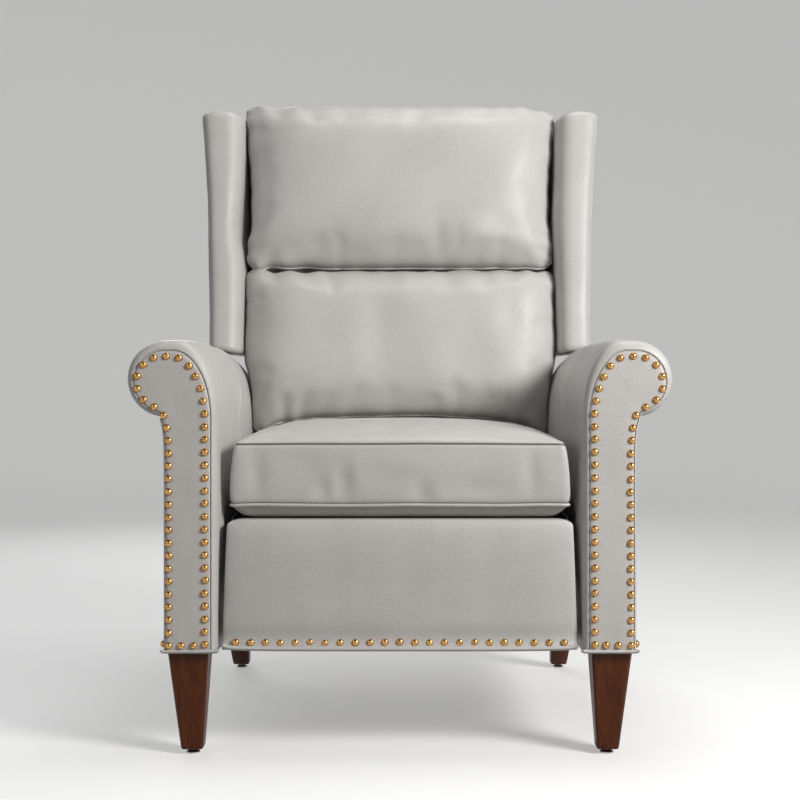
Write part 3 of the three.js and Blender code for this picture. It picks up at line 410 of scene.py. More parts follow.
streak_colour = blend_colours(streak_group, span(streak_group, both, 0.45, 0.9, 0, 1),
                              streak_in.outputs["Dark"], streak_in.outputs["Light"])
streak_rough = maths(streak_group, "MULTIPLY_ADD", span(streak_group, both, 0.45, 0.9, 0.12, -0.06), 1,
                    streak_in.outputs["Roughness"])
feed(streak_group, streak_out, Colour=streak_colour, Roughness=streak_rough, Height=both)

weave_group, weave_in, weave_out = effect_group(
    "plain_weave", [("Vector", "NodeSocketVector", None), ("Threads", "NodeSocketFloat", 160)],
    [("Height", "NodeSocketFloat")])
warp, weft = (
    node(weave_group, "ShaderNodeTexWave", {"bands_direction": direction},
         Vector=weave_in.outputs["Vector"], Scale=weave_in.outputs["Threads"]).outputs["Fac"]
    for direction in ("X", "Z"))
feed(weave_group, weave_out, Height=maths(weave_group, "MULTIPLY", warp, weft))
print("streak and weave groups ready")

# %% [markdown]
# Now the finishes themselves. Where two panels of hide meet, the stitched valley lies in shade: meshes
# carry a weight named seam there, and the leather darkens by it, which is painted shade.

# %% Materials
def finish(name, effect, bump_strength, bump_distance, metallic=0, sheen=0, coat=0, gloss=0.5,
           seam_shade_colour=None, **values):
    """A Principled material whose colour, roughness and bump come from an effect group."""
    material, tree, shader = bare_material(name)
    where = node(tree, "ShaderNodeTexCoord").outputs["Object"]
    group = node(tree, "ShaderNodeGroup", {"node_tree": effect}, Vector=where, **values)
    colour = group.outputs["Colour"]
    # painted shade: along the seam weight the colour darkens towards the seam shade colour
    if seam_shade_colour is not None:
        weight = node(tree, "ShaderNodeAttribute", {"attribute_name": "seam"})
        colour = blend_colours(tree, weight.outputs["Fac"], colour, seam_shade_colour)
    bump = node(tree, "ShaderNodeBump", Strength=bump_strength, Distance=bump_distance,
                Height=group.outputs["Height"])
    feed(tree, shader, Base_Color=colour, Roughness=group.outputs["Roughness"],
         Normal=bump.outputs["Normal"], Metallic=metallic, Sheen_Weight=sheen, Coat_Weight=coat,
         Coat_Roughness=0.25, Specular_IOR_Level=gloss)
    return material


# the seam shade colour is painted shade for the stitched valleys
leather = finish("grey_leather", hide_group, 0.35, 0.0006, sheen=0.08, seam_shade_colour=(0.1, 0.095, 0.09, 1),
                 Pale=(0.535, 0.52, 0.5, 1), Deep=(0.405, 0.39, 0.372, 1), Pebbles=620,
                 Cloudiness=0.3, Roughness=0.43)
leg_stain = finish("stained_leg_wood", streak_group, 0.15, 0.0005, coat=0.05, gloss=0.18,
                   Stretch=(1, 1, 0.07), Fineness=85, Dark=(0.03, 0.006, 0.0007, 1),
                   Light=(0.12, 0.027, 0.0025, 1), Roughness=0.38)
raw_wood = finish("raw_frame_wood", streak_group, 0.3, 0.0008,
                  Stretch=(0.08, 0.08, 1), Fineness=70, Dark=(0.34, 0.2, 0.1, 1),
                  Light=(0.6, 0.42, 0.24, 1), Roughness=0.7)
dark_steel = finish("coated_steel", streak_group, 0.12, 0.0004, metallic=0.6,
                    Stretch=(1, 1, 1), Fineness=120, Dark=(0.012, 0.012, 0.013, 1),
                    Light=(0.05, 0.05, 0.052, 1), Roughness=0.42)
spring_wire = finish("spring_wire", streak_group, 0.1, 0.0003, metallic=1,
                     Stretch=(1, 1, 1), Fineness=200, Dark=(0.2, 0.19, 0.18, 1),
                     Light=(0.4, 0.4, 0.39, 1), Roughness=0.34)
nickel = finish("nickel_glide", streak_group, 0.08, 0.0002, metallic=1,
                Stretch=(1, 1, 1), Fineness=150, Dark=(0.32, 0.31, 0.3, 1),
                Light=(0.62, 0.61, 0.59, 1), Roughness=0.26)
brass = finish("antique_brass", streak_group, 0.12, 0.0003, metallic=1,
               Stretch=(1, 1, 1), Fineness=260, Dark=(0.3, 0.135, 0.035, 1),
               Light=(0.8, 0.47, 0.17, 1), Roughness=0.25)

decking, tree, shader = bare_material("decking_cloth")
where = node(tree, "ShaderNodeTexCoord").outputs["Object"]
threads = node(tree, "ShaderNodeGroup", {"node_tree": weave_group}, Vector=where).outputs["Height"]
bump = node(tree, "ShaderNodeBump", Strength=0.5, Distance=0.0006, Height=threads)
black, worn_black = (0.006, 0.006, 0.005, 1), (0.03, 0.028, 0.025, 1)
feed(tree, shader, Base_Color=blend_colours(tree, threads, black, worn_black),
     Normal=bump.outputs["Normal"], Roughness=0.9)

finish_of = {"leather": leather, "leg_wood": leg_stain, "frame_wood": raw_wood, "steel": dark_steel,
             "spring_steel": spring_wire, "glide_metal": nickel, "brass": brass, "cloth": decking}
slot_of = {part["node"]: part["material_slot"] for part in frame["record"]["subparts"]}
slot_of["seat_rail_front"] = "cloth"
for name, part in frame["nodes"].items():
    for slot in part.material_slots:
        slot.material = finish_of[slot_of[name]]
print("finishes:", ", ".join(sorted(finish_of)))

# %% [markdown]
# ## The arms
#
# A rolled panel arm is one section carried from front to back: an inner wall, a rounded shoulder, a
# roll over the outside and a straight outer wall below a sharp crease. Two such outlines are needed,
# one for the cover and a smaller one for the facing, with the same number of points, so that any
# shape between them is a plain mixture of the two.

# %% The outline of an arm, and its middle line
arm_inner, arm_outer = 283, 366
arm_bottom, shoulder_level, arm_top = 164, 530, 645
roll_end_degrees = -80
wall_points, shoulder_points, flat_points, roll_points = 26, 22, 3, 36


def arm_outline(inner, outer, bottom, shoulder, top, roll, notch, flare):
    """Closed outline in X and Z: up the inner wall, over an elliptic shoulder, round the roll to the
    crease, and down the outer wall, which flares out towards the crease as a decaying exponential."""
    roll_x, roll_z, radius = roll
    turn = math.radians(roll_end_degrees)
    roll_end = (roll_x + radius * math.cos(turn), roll_z + radius * math.sin(turn))
    drop = np.linspace(0, 1, 26, endpoint=False) ** 1.6 * (flare[1] - bottom)
    outer_wall = np.stack([outer + (flare[0] - outer) * np.exp(-drop / 17), flare[1] - drop], axis=-1)
    return np.vstack([
        line((inner, bottom), (inner, shoulder[1]), wall_points),
        arc(shoulder, (shoulder[0] - inner, top - shoulder[1]), 180, 90, shoulder_points),
        line((shoulder[0], top), (roll_x, top), flat_points),
        arc((roll_x, roll_z), (radius, radius), 90, roll_end_degrees, roll_points),
        line(roll_end, notch, 3), line(notch, flare, 3), outer_wall,
        line((outer, bottom), (inner, bottom), 12)])


def arm_spine(outline):
    """The middle line that an arm's rings shrink to: upright in the column, a point in the roll."""
    z = np.clip(outline[:, 1], arm_bottom + 38, 575)
    rise = np.clip((z - 440) / 135, 0, 1)
    return np.stack([326 + 26 * rise ** 2 * (3 - 2 * rise), z], axis=-1)


cover_outline = arm_outline(arm_inner, arm_outer, arm_bottom, (345, shoulder_level), arm_top,
                            (363.5, 586.5, 58.5), (369, 526.5), (372.5, 523.5))
facing_outline = arm_outline(292, 361.3, arm_bottom + 2.5, (351, 525), 630, (363.8, 582.8, 47.2),
                             (368, 530), (368, 523.5))
print("outlines with", len(cover_outline), "points")

# %% [markdown]
# The cover's front edge rolls over like the rim of a drum and tucks in behind the facing. Towards the
# rear its crest sinks, so the arm follows the slope of the back. The inner wall is padded: it swells
# by a bell curve of its height. A leaning seam crosses the arm where the inner panel ends; rows are
# set closer there, so the stitched valley is real geometry.

# %% Arm covers
arm_depth = 735
crest_shares = [0, 0.13, 0.4, 0.6, 0.76, 0.89, 0.955, 1]
crest_levels = [1, 1.05, 1.07, 1.05, 0.98, 0.88, 0.74, 0.55]
rim_start = 1.5
rim_depth = 14
rear_radius = 10
seam_depth = 300
seam_lean = 122
seam_rows = np.array([-6, -3.2, -1.6, -0.7, 0, 0.7, 1.6, 3.2, 6])


def outward(grid):
    """Unit normals of a grid of rings: the cross product of the steps along and across it."""
    along = np.gradient(grid, axis=0)
    across = np.roll(grid, -1, axis=1) - np.roll(grid, 1, axis=1)
    normal = np.cross(across, along)
    return normal / (np.linalg.norm(normal, axis=-1, keepdims=True) + 1e-9)


def lowered(outline, depth):
    """An outline with its part above the shoulder squeezed to the crest's height at that depth."""
    share = smooth_through(crest_shares, crest_levels, np.clip(depth / arm_depth, 0, 1))
    above = np.maximum(0, outline[..., 1] - shoulder_level)
    return np.stack([outline[..., 0], outline[..., 1] - above * (1 - share)], axis=-1)


def arm_cover(side):
    """The rim is facing + (cover - facing) * sin(angle), set back by rim * (1 - cos(angle)). Behind it
    the section runs to the rear, where it turns in on a quarter circle and closes on the spine."""
    spine = arm_spine(cover_outline)
    rows = []

    def row(outline, depth):
        depth = np.broadcast_to(depth, len(outline)).astype(float)
        shape = lowered(outline, depth)
        rows.append(np.stack([shape[:, 0], depth, shape[:, 1]], axis=-1))

    inward = facing_outline + (arm_spine(facing_outline) - facing_outline) * 0.06
    for outline, depth in ((arm_spine(facing_outline), 10), (inward, 10), (inward, 7),
                           (facing_outline, 3.6)):
        row(outline, depth)
    for angle in np.radians(np.linspace(8, 90, 11)):
        row(facing_outline + (cover_outline - facing_outline) * math.sin(angle),
            rim_start + rim_depth * (1 - math.cos(angle)))
    body_start, body_end = rim_start + rim_depth, arm_depth - rear_radius
    lean_share = np.clip((cover_outline[:, 1] - shoulder_level) / 105, 0, 1)
    number = np.arange(len(cover_outline))
    lean_share = np.where(number > wall_points + shoulder_points,
                          np.exp(-np.maximum(0, 575 - cover_outline[:, 1]) / 60), lean_share)
    depths = np.sort(np.concatenate([np.linspace(body_start, body_end, 64)[1:], seam_depth + seam_rows]))
    first_body_row = len(rows)
    for depth in depths:
        bell = math.sin(math.pi * (depth - body_start) / (body_end - body_start))
        row(cover_outline, depth + seam_lean * bell * lean_share)
    last_body_row = len(rows)
    reach = np.linalg.norm(spine - cover_outline, axis=1, keepdims=True)
    for angle in np.radians(np.linspace(18, 90, 5)):
        inset = rear_radius * (1 - math.cos(angle))
        row(cover_outline + (spine - cover_outline) * inset / reach,
            body_end + rear_radius * math.sin(angle))
    for share in (0.45, 0.75, 1):
        row(cover_outline + (spine - cover_outline) * share, arm_depth)
    grid = np.stack(rows)
    from_seam = np.full(len(rows), 1e3)
    from_seam[first_body_row:last_body_row] = depths - seam_depth
    last_on_roll = wall_points + shoulder_points + flat_points + roll_points - 1
    stitched = (number < last_on_roll) * (cover_outline[:, 1] > arm_bottom + 1)
    # seam weight for the leather: painted shade along the stitched valley
    seam = np.exp(-(from_seam / 1.2) ** 2)[:, None] * stitched
    valley = 1.7 * np.exp(-(from_seam / 2.4) ** 2) - 0.8 * np.exp(-(np.abs(from_seam) - 6) ** 2 / 18)
    valley = valley[:, None] * stitched
    soft = np.clip((grid[..., 1] - 30) / 60, 0, 1) * np.clip((700 - grid[..., 1]) / 60, 0, 1)
    ripples = 1.3 * ripple(grid, 210, 11 + side) + 0.5 * ripple(grid, 80, 21 + side)
    inside_wall = np.exp(-((grid[..., 0] - arm_inner) / 25) ** 2)
    run = np.clip((grid[..., 1] - 6) / 34, 0, 1) * np.clip((680 - grid[..., 1]) / 120, 0, 1)
    by_links = np.clip((grid[..., 1] - 50) / 40, 0, 1) * np.clip((395 - grid[..., 2]) / 30, 0, 1)
    run *= 1 - by_links
    soft *= 1 - by_links * inside_wall
    grid[..., 0] -= 6.5 * inside_wall * run * np.exp(-((grid[..., 2] - 370) / 105) ** 2)
    grid = grid + outward(grid) * (soft * ripples - valley)[..., None]
    grid[..., 0] *= side
    return grid, seam


for word, side in sides:
    cover_grid, cover_seam = arm_cover(side)
    cover = grid_piece(f"arm_leather_{word}", cover_grid, leather, cover_seam)
    dress(cover, "base", "leather", f"arm_cover_{word}", fill=0.9)

# %% [markdown]
# The facing is a thin padded board in leather. Its rings start behind the rim, turn over a small
# radius and run in to the middle line, where they close.

# %% Arm facings
facing_back = 9.4
facing_steps = np.array([[0, 6.2], [0.5, 3.2], [1.6, 1.5], [3.4, 0.8], [7, 0.5], [13, 0.3]])


def arm_facing(side):
    """Rings of the facing outline moved in by a step, each at its own depth, down to the middle line."""
    spine = arm_spine(facing_outline)
    way = spine - facing_outline
    reach = np.linalg.norm(way, axis=1, keepdims=True)
    rings = [(facing_outline + way, facing_back), (facing_outline, facing_back)]
    rings += [(facing_outline + way * np.minimum(1, inset / reach), depth)
              for inset, depth in facing_steps]
    flat_from = facing_steps[-1, 0] / reach
    rings += [(facing_outline + way * (flat_from * (1 - share) + share), 0.25)
              for share in (0.15, 0.35, 0.6, 0.82, 1)]
    grid = np.stack([np.stack([side * ring[:, 0], np.full(len(ring), depth), ring[:, 1]], axis=-1)
                     for ring, depth in rings])
    face = np.array([depth < 1 for _, depth in rings])[:, None]
    grid[..., 1] -= face * (0.35 * ripple(grid, 70, 31 + side) + 0.25 * ripple(grid, 30, 41 + side))
    return grid


for word, side in sides:
    facing = grid_piece(f"facing_leather_{word}", arm_facing(side), leather)
    dress(facing, "base", "leather", f"arm_facing_{word}", fill=1)

# %% [markdown]
# ## Nail trim
#
# Brass nails are hammered in by eye: each dome stands a little differently, which makes the row
# glitter unevenly. A dome is a short profile turned around its shank.

# %% Nail heads
nail_radius = 5.9
dome = np.array([[0, -0.5], [0.8, -0.5], [0.99, 0], [0.97, 0.16], [0.82, 0.44], [0.56, 0.66],
                 [0.28, 0.77], [0, 0.8]])
dome_sides = 12


def nail_row(name, centres, facing_way, seed):
    """Every nail is a dome of revolution about facing_way, tilted and moved by a small seeded amount."""
    centres = np.asarray(centres, float)
    dice = np.random.default_rng(seed)
    way = np.asarray(facing_way, float) + dice.normal(scale=0.045, size=(len(centres), 3))
    way /= np.linalg.norm(way, axis=1, keepdims=True)
    first = np.cross(way, [0.1, 0.2, 1])
    first /= np.linalg.norm(first, axis=1, keepdims=True)
    second = np.cross(way, first)
    turn = np.linspace(0, 2 * np.pi, dome_sides, endpoint=False)
    size = nail_radius * dice.uniform(0.97, 1.03, size=len(centres))[:, None, None, None]
    flat = dome[:, 0][None, :, None, None] * (
        np.cos(turn)[None, None, :, None] * first[:, None, None, :]
        + np.sin(turn)[None, None, :, None] * second[:, None, None, :])
    rise = dome[:, 1][None, :, None, None] * way[:, None, None, :]
    moved = centres + dice.normal(scale=0.25, size=centres.shape) * (1 - np.abs(facing_way))
    points = moved[:, None, None, :] + size * (flat + rise)
    faces = np.concatenate([grid_faces(len(dome), dome_sides, start=number * len(dome) * dome_sides)
                            for number in range(len(centres))])
    return new_piece(name, points, faces, brass, crease_degrees=60)


nail_pitch = 19.9
roll_turn = np.radians(np.linspace(92, -58, 24))
roll_reach = np.interp(np.degrees(roll_turn), [-58, 0, 92], [38.5, 43, 42.5])
nail_path = np.vstack([
    line((300.5, 177), (300.5, 522), 24),
    arc((352, 524), (51.5, 97.5), 180, 92, 20),
    np.stack([363.5 + roll_reach * np.cos(roll_turn),
              579.5 + roll_reach * np.sin(roll_turn)], axis=-1),
    [[371, 538], [363.3, 530], [359.6, 516], [357.6, 500], [356.4, 470], [356.2, 400], [356.2, 175.5]]])
bottom_nails = np.array([[336.8, 175.9], [318, 176.3]])
for word, side in sides:
    path = np.vstack([spaced(nail_path, nail_pitch), bottom_nails])
    centres = np.stack([side * path[:, 0], np.full(len(path), 0.2), path[:, 1]], axis=-1)
    nails = nail_row(f"arm_nails_{word}", centres, (0, -1, 0), 50 + side)
    dress(nails, "base", "brass")
    along = np.arange(11, 728, nail_pitch)
    outside = np.full(len(along), float(side * arm_outer))
    centres = np.stack([outside, along, np.full(len(along), 176.6)], axis=-1)
    outside_nails = nail_row(f"outside_nails_{word}", centres, (side, 0, 0), 60 + side)
    dress(outside_nails, "base", "brass")
    print(len(path), "nails on the facing,", len(along), "along the outside")

# %% [markdown]
# The leather's lower edge is turned over a thin cord and stands out as a small lip. A lip is an oval
# section carried along a line, with its ends drawn out.

# %% Lips along the lower edges
def carried(path, radii, sides_round=10, up=(0, 0, 1)):
    """An oval section carried along a path: two radii, one along the side way, one along the other.
    The radii may change along the path; the end sections shrink to a point."""
    path = np.asarray(path, float)
    heading = np.gradient(path, axis=0)
    heading /= np.linalg.norm(heading, axis=1, keepdims=True)
    side_way = np.cross(heading, np.asarray(up, float))
    side_way /= np.linalg.norm(side_way, axis=1, keepdims=True)
    other_way = np.cross(side_way, heading)
    turn = np.linspace(0, 2 * np.pi, sides_round, endpoint=False)
    radii = np.broadcast_to(np.asarray(radii, float), (len(path), 2))
    swing = (np.cos(turn)[None, :, None] * (radii[:, :1] * side_way)[:, None, :]
             + np.sin(turn)[None, :, None] * (radii[:, 1:] * other_way)[:, None, :])
    tube = path[:, None, :] + swing
    start = np.repeat(path[:1, None, :], sides_round, axis=1)
    end = np.repeat(path[-1:, None, :], sides_round, axis=1)
    return np.concatenate([start, tube, end])


def lip_path(half_width, middle_x, depth, height, curl):
    """A line across the front whose ends curl up: by the sixth power of the distance from its middle
    and, right at the ends, by a steeper power. Its points crowd towards the ends."""
    even = np.linspace(-1, 1, 49)
    share = np.sign(even) * (1 - (1 - np.abs(even)) ** 2)
    return np.stack([middle_x + half_width * share, depth - 1.2 * share ** 8,
                     height + 0.4 * curl * share ** 6 + 0.6 * curl * np.abs(share) ** 60], axis=-1)


for word, side in sides:
    lip_grid = carried(lip_path(43.2, side * 324.5, 2.2, 166, 2.4), (4.2, 3.2))
    lip = grid_piece(f"arm_lip_{word}", lip_grid, leather)
    dress(lip, "base", "leather")

# %% [markdown]
# ## The wings
#
# The back leans by thirteen degrees about the recline hinge, so its parts are drawn on the back
# itself: X across, T square to the back towards the rear, S up along it. A wing is a padded board.
# Its plan is a ring with a flat outer face, a crisp welted front edge and a soft round nose; the ring
# widens upwards and its top is arched.

# %% Wings
lean = math.radians(13)
hinge_depth, hinge_height = 640, 340
wing_middle_t, wing_rear_t, wing_front_t = -184, 25, -214
wing_rear_points, wing_corner_points, wing_side_points = 8, 6, 24
wing_corner, nose_run, wing_edge = 16, 26, 9.5
wing_top, wing_foot, welt_turn = 1125, 641.5, 27
stile_face, hook_t = 264.8, -30.6


def on_back(points):
    """X, T and S on the leaning back, turned by the lean into X, depth and height."""
    x, t, s = np.moveaxis(np.asarray(points, float), -1, 0)
    return np.stack([x, hinge_depth + t * math.cos(lean) + s * math.sin(lean),
                     hinge_height - t * math.sin(lean) + s * math.cos(lean)], axis=-1)


def at_height(x, t, height):
    """Places on the back whose height above the floor is known instead of S."""
    s = (height - hinge_height + t * math.sin(lean)) / math.cos(lean)
    return on_back(np.stack([x, t, s], axis=-1))


nose_turn = np.sort(np.concatenate([np.linspace(0, 180, 30), [22, 24, 25.5, 27, 28.5, 30, 32]]))


def wing_ring(level, side):
    """The plan ring at one level: straight sides, a nose that is a superellipse outside and an
    ellipse inside, and a hook behind the pillows to the stile. Half way up, a bell curve of level
    draws the left nose in from the pillows and lets the right one swell a little towards them."""
    flare = level ** 1.7
    inner, outer = 299 + 8.5 * flare, 363 + 27 * flare
    bell_width = 0.2 if level > 0.5 else 0.11
    drawn_in = (11 if side < 0 else -3) * math.exp(-((level - 0.5) / bell_width) ** 2)
    middle, half = (inner + drawn_in + outer) / 2, (outer - inner - drawn_in) / 2
    turn = np.radians(nose_turn)
    across, ahead = np.cos(turn), np.sin(turn)
    power = np.where(across > 0, 0.5, 0.9)
    start = wing_middle_t + nose_run * np.clip(-across, 0, 1) ** 1.5
    nose = np.stack([middle + half * np.sign(across) * np.abs(across) ** power,
                     start + (wing_front_t - start) * ahead ** 0.9], axis=-1)
    bulge = np.linspace(0, 1, 22)[1:-1]
    inner_face = np.stack([inner + drawn_in * (1 - bulge) ** 1.5 - 1.5 * np.sin(np.pi * bulge),
                           wing_middle_t + nose_run + (-74 - wing_middle_t) * bulge], axis=-1)
    turn_x, turn_t = outer - wing_corner, wing_rear_t - wing_corner
    ring = np.vstack([
        line((stile_face, wing_rear_t), (turn_x, wing_rear_t), wing_rear_points),
        arc((turn_x, turn_t), (wing_corner, wing_corner), 90, 0, wing_corner_points),
        line((outer, turn_t), (outer, wing_middle_t), wing_side_points), nose, inner_face,
        line((inner, -48), (stile_face, hook_t), 5),
        line((stile_face, hook_t), (stile_face, wing_rear_t), 6)])
    return ring, middle, half


def wing(side):
    """Rings stacked between an arched top and a rounded foot. Kind 0 is the wall. Kind 2 turns in on a
    quarter circle and kind 1 shrinks to the middle line, with a minus sign at the foot."""
    rows, seams = [], []
    ends = [(-1, share) for share in (1, 0.7, 0.4, 0.15)] + [(-2, turn) for turn in (90, 65, 40, 18)]
    plan = ends + [(0, fraction) for fraction in np.linspace(0, 1, 46)]
    plan += [(2, turn) for turn in (18, 40, 65, 90)] + [(1, share) for share in (0.15, 0.4, 0.7, 1)]
    for kind, value in plan:
        level = value if kind == 0 else float(kind > 0)
        ring, middle, half = wing_ring(level, side)
        spine = np.stack([np.full(len(ring), middle),
                          np.clip(ring[:, 1], wing_middle_t + 10, 0)], axis=-1)
        way = spine - ring
        reach = np.linalg.norm(way, axis=1, keepdims=True) + 1e-6
        if abs(kind) == 2:
            ring = ring + way * wing_edge * (1 - math.cos(math.radians(value))) / reach
        if abs(kind) == 1:
            ring = ring + way * (wing_edge / reach * (1 - value) + value)
        across = np.clip((ring[:, 0] - middle) / half, -1, 1)
        ahead = np.clip((wing_middle_t - ring[:, 1]) / 30, 0, 1)
        fall = np.where(across < 0, 12, 5) * np.abs(across) ** np.where(across < 0, 1.6, 2.4)
        top = wing_top - fall - 5 * ahead ** 2
        foot = wing_foot + 3.5 * (across + 1) + 3 * ahead ** 2
        drop = wing_edge * (1 - math.sin(math.radians(value))) if abs(kind) == 2 else 0
        if kind == 0:
            height = foot + wing_edge + (top - foot - 2 * wing_edge) * value
        else:
            height = top - drop if kind > 0 else foot + drop
        rows.append(at_height(ring[:, 0], ring[:, 1], height))
        seams.append(np.full(len(ring), float(abs(kind) != 1)))
    grid, body = np.stack(rows), np.stack(seams)
    first = wing_rear_points + wing_corner_points + wing_side_points
    angle = np.full(grid.shape[1], 1e3)
    angle[first:first + len(nose_turn)] = nose_turn - welt_turn
    valley = np.exp(-(angle / 2.2) ** 2)[None, :] * body
    lift = 0.8 * np.exp(-((np.abs(angle) - 6) / 3) ** 2)[None, :] * body
    soft = body * (1.2 * ripple(grid, 190, 71 + side) + 0.5 * ripple(grid, 70, 73 + side))
    soft *= np.clip((grid.shape[1] - np.arange(grid.shape[1]) - 10) / 10, 0, 1)[None, :]
    grid = grid - outward(grid) * (lift - 2.1 * valley + soft)[..., None]
    grid[..., 0] *= side
    # the second grid is the seam weight at the welt: painted shade in its valley
    return grid, np.exp(-(angle / 1.5) ** 2)[None, :] * body


for word, side in sides:
    wing_grid, wing_seam = wing(side)
    wing_piece = grid_piece(f"wing_leather_{word}", wing_grid, leather, wing_seam)
    dress(wing_piece, "back", "leather", f"wing_{word}", fill=0.9)

# %% [markdown]
# ## Cushions and pillows
#
# A stuffed piece is drawn as its tailor cuts it: one crowned panel as a square grid, then rings that
# run from the panel's edge down the boxing and close behind. The grid keeps its quads even, which the
# cloth solver likes. The solver then fills each cover with air pressure for twenty frames; the move of
# each point is capped, so the cushion stays the size of the real one.

# %% Shells, and filling them
def even_grid(count_a, count_b, crowding=1.5):
    """Two square parameters from -1 to 1 whose lines crowd towards the edges."""
    def spread(count):
        at = np.linspace(-1, 1, count)
        return np.sign(at) * (1 - (1 - np.abs(at)) ** crowding)
    return np.meshgrid(spread(count_a), spread(count_b), indexing="ij")


def rounded(a, b, half_a, half_b, corner):
    """The square grid scaled to a rectangle with rounded corners. The rounding is mixed in by the
    eighth power of the ring's size, so that no crease runs from the corners to the middle."""
    ring = np.maximum(np.maximum(np.abs(a), np.abs(b)), 1e-9)
    x, y = a / ring * half_a, b / ring * half_b
    over_x, over_y = np.abs(x) - (half_a - corner), np.abs(y) - (half_b - corner)
    inside = (over_x > 0) & (over_y > 0)
    length = np.where(inside, np.hypot(over_x, over_y), 1)
    pull = np.where(inside, corner / length, 1)
    share = ring ** 8
    round_x = np.where(inside, np.sign(x) * (half_a - corner + over_x * pull), x)
    round_y = np.where(inside, np.sign(y) * (half_b - corner + over_y * pull), y)
    return (x + (round_x - x) * share) * ring, (y + (round_y - y) * share) * ring


def edge_of(grid):
    """The border of a square grid, in order, as places in the flattened grid."""
    rows, columns = grid.shape[:2]
    number = np.arange(rows * columns).reshape(rows, columns)
    return np.concatenate([number[0, :-1], number[:-1, -1], number[-1, :0:-1], number[:0:-1, 0]])


def edge_points(panel):
    """The places along a panel's border, in order."""
    return panel.reshape(-1, 3)[edge_of(panel)]


def shell(panel, rings):
    """A panel and the rings that follow its edge, joined by quads."""
    count = panel.shape[0] * panel.shape[1]
    around = len(edge_of(panel))
    ring_faces = grid_faces(len(rings) + 1, around)
    index = np.concatenate([edge_of(panel), count + np.arange(len(rings) * around)])
    points = np.concatenate([panel.reshape(-1, 3), np.reshape(rings, (-1, 3))])
    return points, np.concatenate([grid_faces(*panel.shape[:2], around=False), index[ring_faces]])


def folded(panel, steps, height, shares):
    """A shell whose edge folds back in steps of (scale of X, depth), then closes round its middle."""
    rings = [edge_points(panel) * [scale, 0, 1] + [0, depth, 0] for scale, depth in steps]
    middle = np.array([0, steps[-1][1], height])
    rings += [middle + (rings[-1] - middle) * share for share in shares]
    return shell(panel, np.stack(rings))


def dented(depth, x, height, spots):
    """A depth with one bell curve added per spot, which has a place, two widths and a depth."""
    for spot_x, spot_height, wide, high, deep in spots:
        depth = depth + deep * np.exp(-((x - spot_x) / wide) ** 2 - ((height - spot_height) / high) ** 2)
    return depth


def metres_of(mesh):
    """A mesh's points in the frame's metres."""
    flat = np.empty(len(mesh.vertices) * 3)
    mesh.vertices.foreach_get("co", flat)
    return flat.reshape(-1, 3)


def unplaced(points):
    """The frame's metres as millimetres again: place, undone."""
    return points * 1000 - np.array([0, front_of_arms * 1000, 0])


def reshape_piece(piece, points):
    """New places, in millimetres, for the points of a piece."""
    piece.data.vertices.foreach_set("co", place(points).ravel())
    piece.data.update()


filling_frames = 20


def fill_with_air(piece, pressure, cap, keep_clear):
    """Cloth with air pressure and no gravity, run for some frames and written back to the mesh.
    No point moves further than cap millimetres, and keep_clear may pull points back."""
    before = metres_of(piece.data)
    cloth = piece.modifiers.new("filling", "CLOTH")
    cloth.settings.quality = 5
    cloth.settings.mass = 0.4
    cloth.settings.tension_stiffness = 18
    cloth.settings.compression_stiffness = 18
    cloth.settings.shear_stiffness = 8
    cloth.settings.bending_stiffness = 1.2
    cloth.settings.use_pressure = True
    cloth.settings.uniform_pressure_force = pressure
    cloth.settings.effector_weights.gravity = 0
    cloth.collision_settings.use_collision = False
    scene = bpy.context.scene
    for number in range(1, filling_frames + 1):
        scene.frame_set(number)
    filled = piece.evaluated_get(bpy.context.evaluated_depsgraph_get()).data
    move = (metres_of(filled) - before) * 1000
    length = np.linalg.norm(move, axis=1, keepdims=True) + 1e-9
    move *= np.tanh(length / cap) * cap / length
    piece.modifiers.remove(cloth)
    scene.frame_set(1)
    reshape_piece(piece, keep_clear(unplaced(before), move))
    print(piece.name, "filled: largest move", round(float(np.linalg.norm(move, axis=1).max()), 1), "mm")


def smoother(piece):
    """One more level of subdivision, the same in the view and in the render."""
    modifier = piece.modifiers.new("smooth", "SUBSURF")
    modifier.levels = modifier.render_levels = 1


print("shell tools ready")

# %% [markdown]
# The two pillows are sewn from a front panel and a boxing, and gathered along the seam. The gathers
# are short waves that fade away from the edge, strongest near the corners. The outline itself waves
# as well: full at the corners, drawn in between them. A few soft dents are pressed into the panels.

# %% Head pillow and lumbar pillow
pillow_back_t, pillow_seam_t, pillow_crown_t, pillow_limit_t = -34.9, -160, -219, -229
pillow_half_width = 300
boxing = np.array([[0.997, -152], [0.992, -140], [0.984, -122], [0.98, -102], [0.978, -82],
                   [0.972, -62], [0.955, -46], [0.925, -37], [0.8, -34.9], [0.5, -34.9], [0, -34.9]])
side_wave = ([-1, -0.86, -0.66, -0.5, -0.1, 0.35, 0.62, 0.85, 1],
             [0, 1.5, 1, -3, -0.5, -1, -0.5, 2.5, 2])
end_wave = ([0, 0.3, 0.5, 0.62, 0.72, 0.84, 0.93, 1], [1, 1.5, 1.5, -1.8, 0, -3.2, 2.4, 0])
pillow_dents = {
    "head_pillow": [(75, 482, 15, 40, 5), (110, 484, 13, 34, 4.5), (-150, 474, 40, 24, 3),
                    (-215, 470, 17, 18, 3.5), (20, 640, 120, 60, 2.5), (190, 520, 30, 26, 3),
                    (-250, 700, 30, 60, 3)],
    "lumbar_pillow": [(-40, 300, 32, 110, 4), (-140, 412, 24, 22, 3.5), (-20, 418, 28, 20, 3),
                      (95, 416, 24, 24, 3.5), (172, 418, 20, 16, 3), (120, 250, 60, 50, 3.5),
                      (210, 330, 26, 50, 3)]}


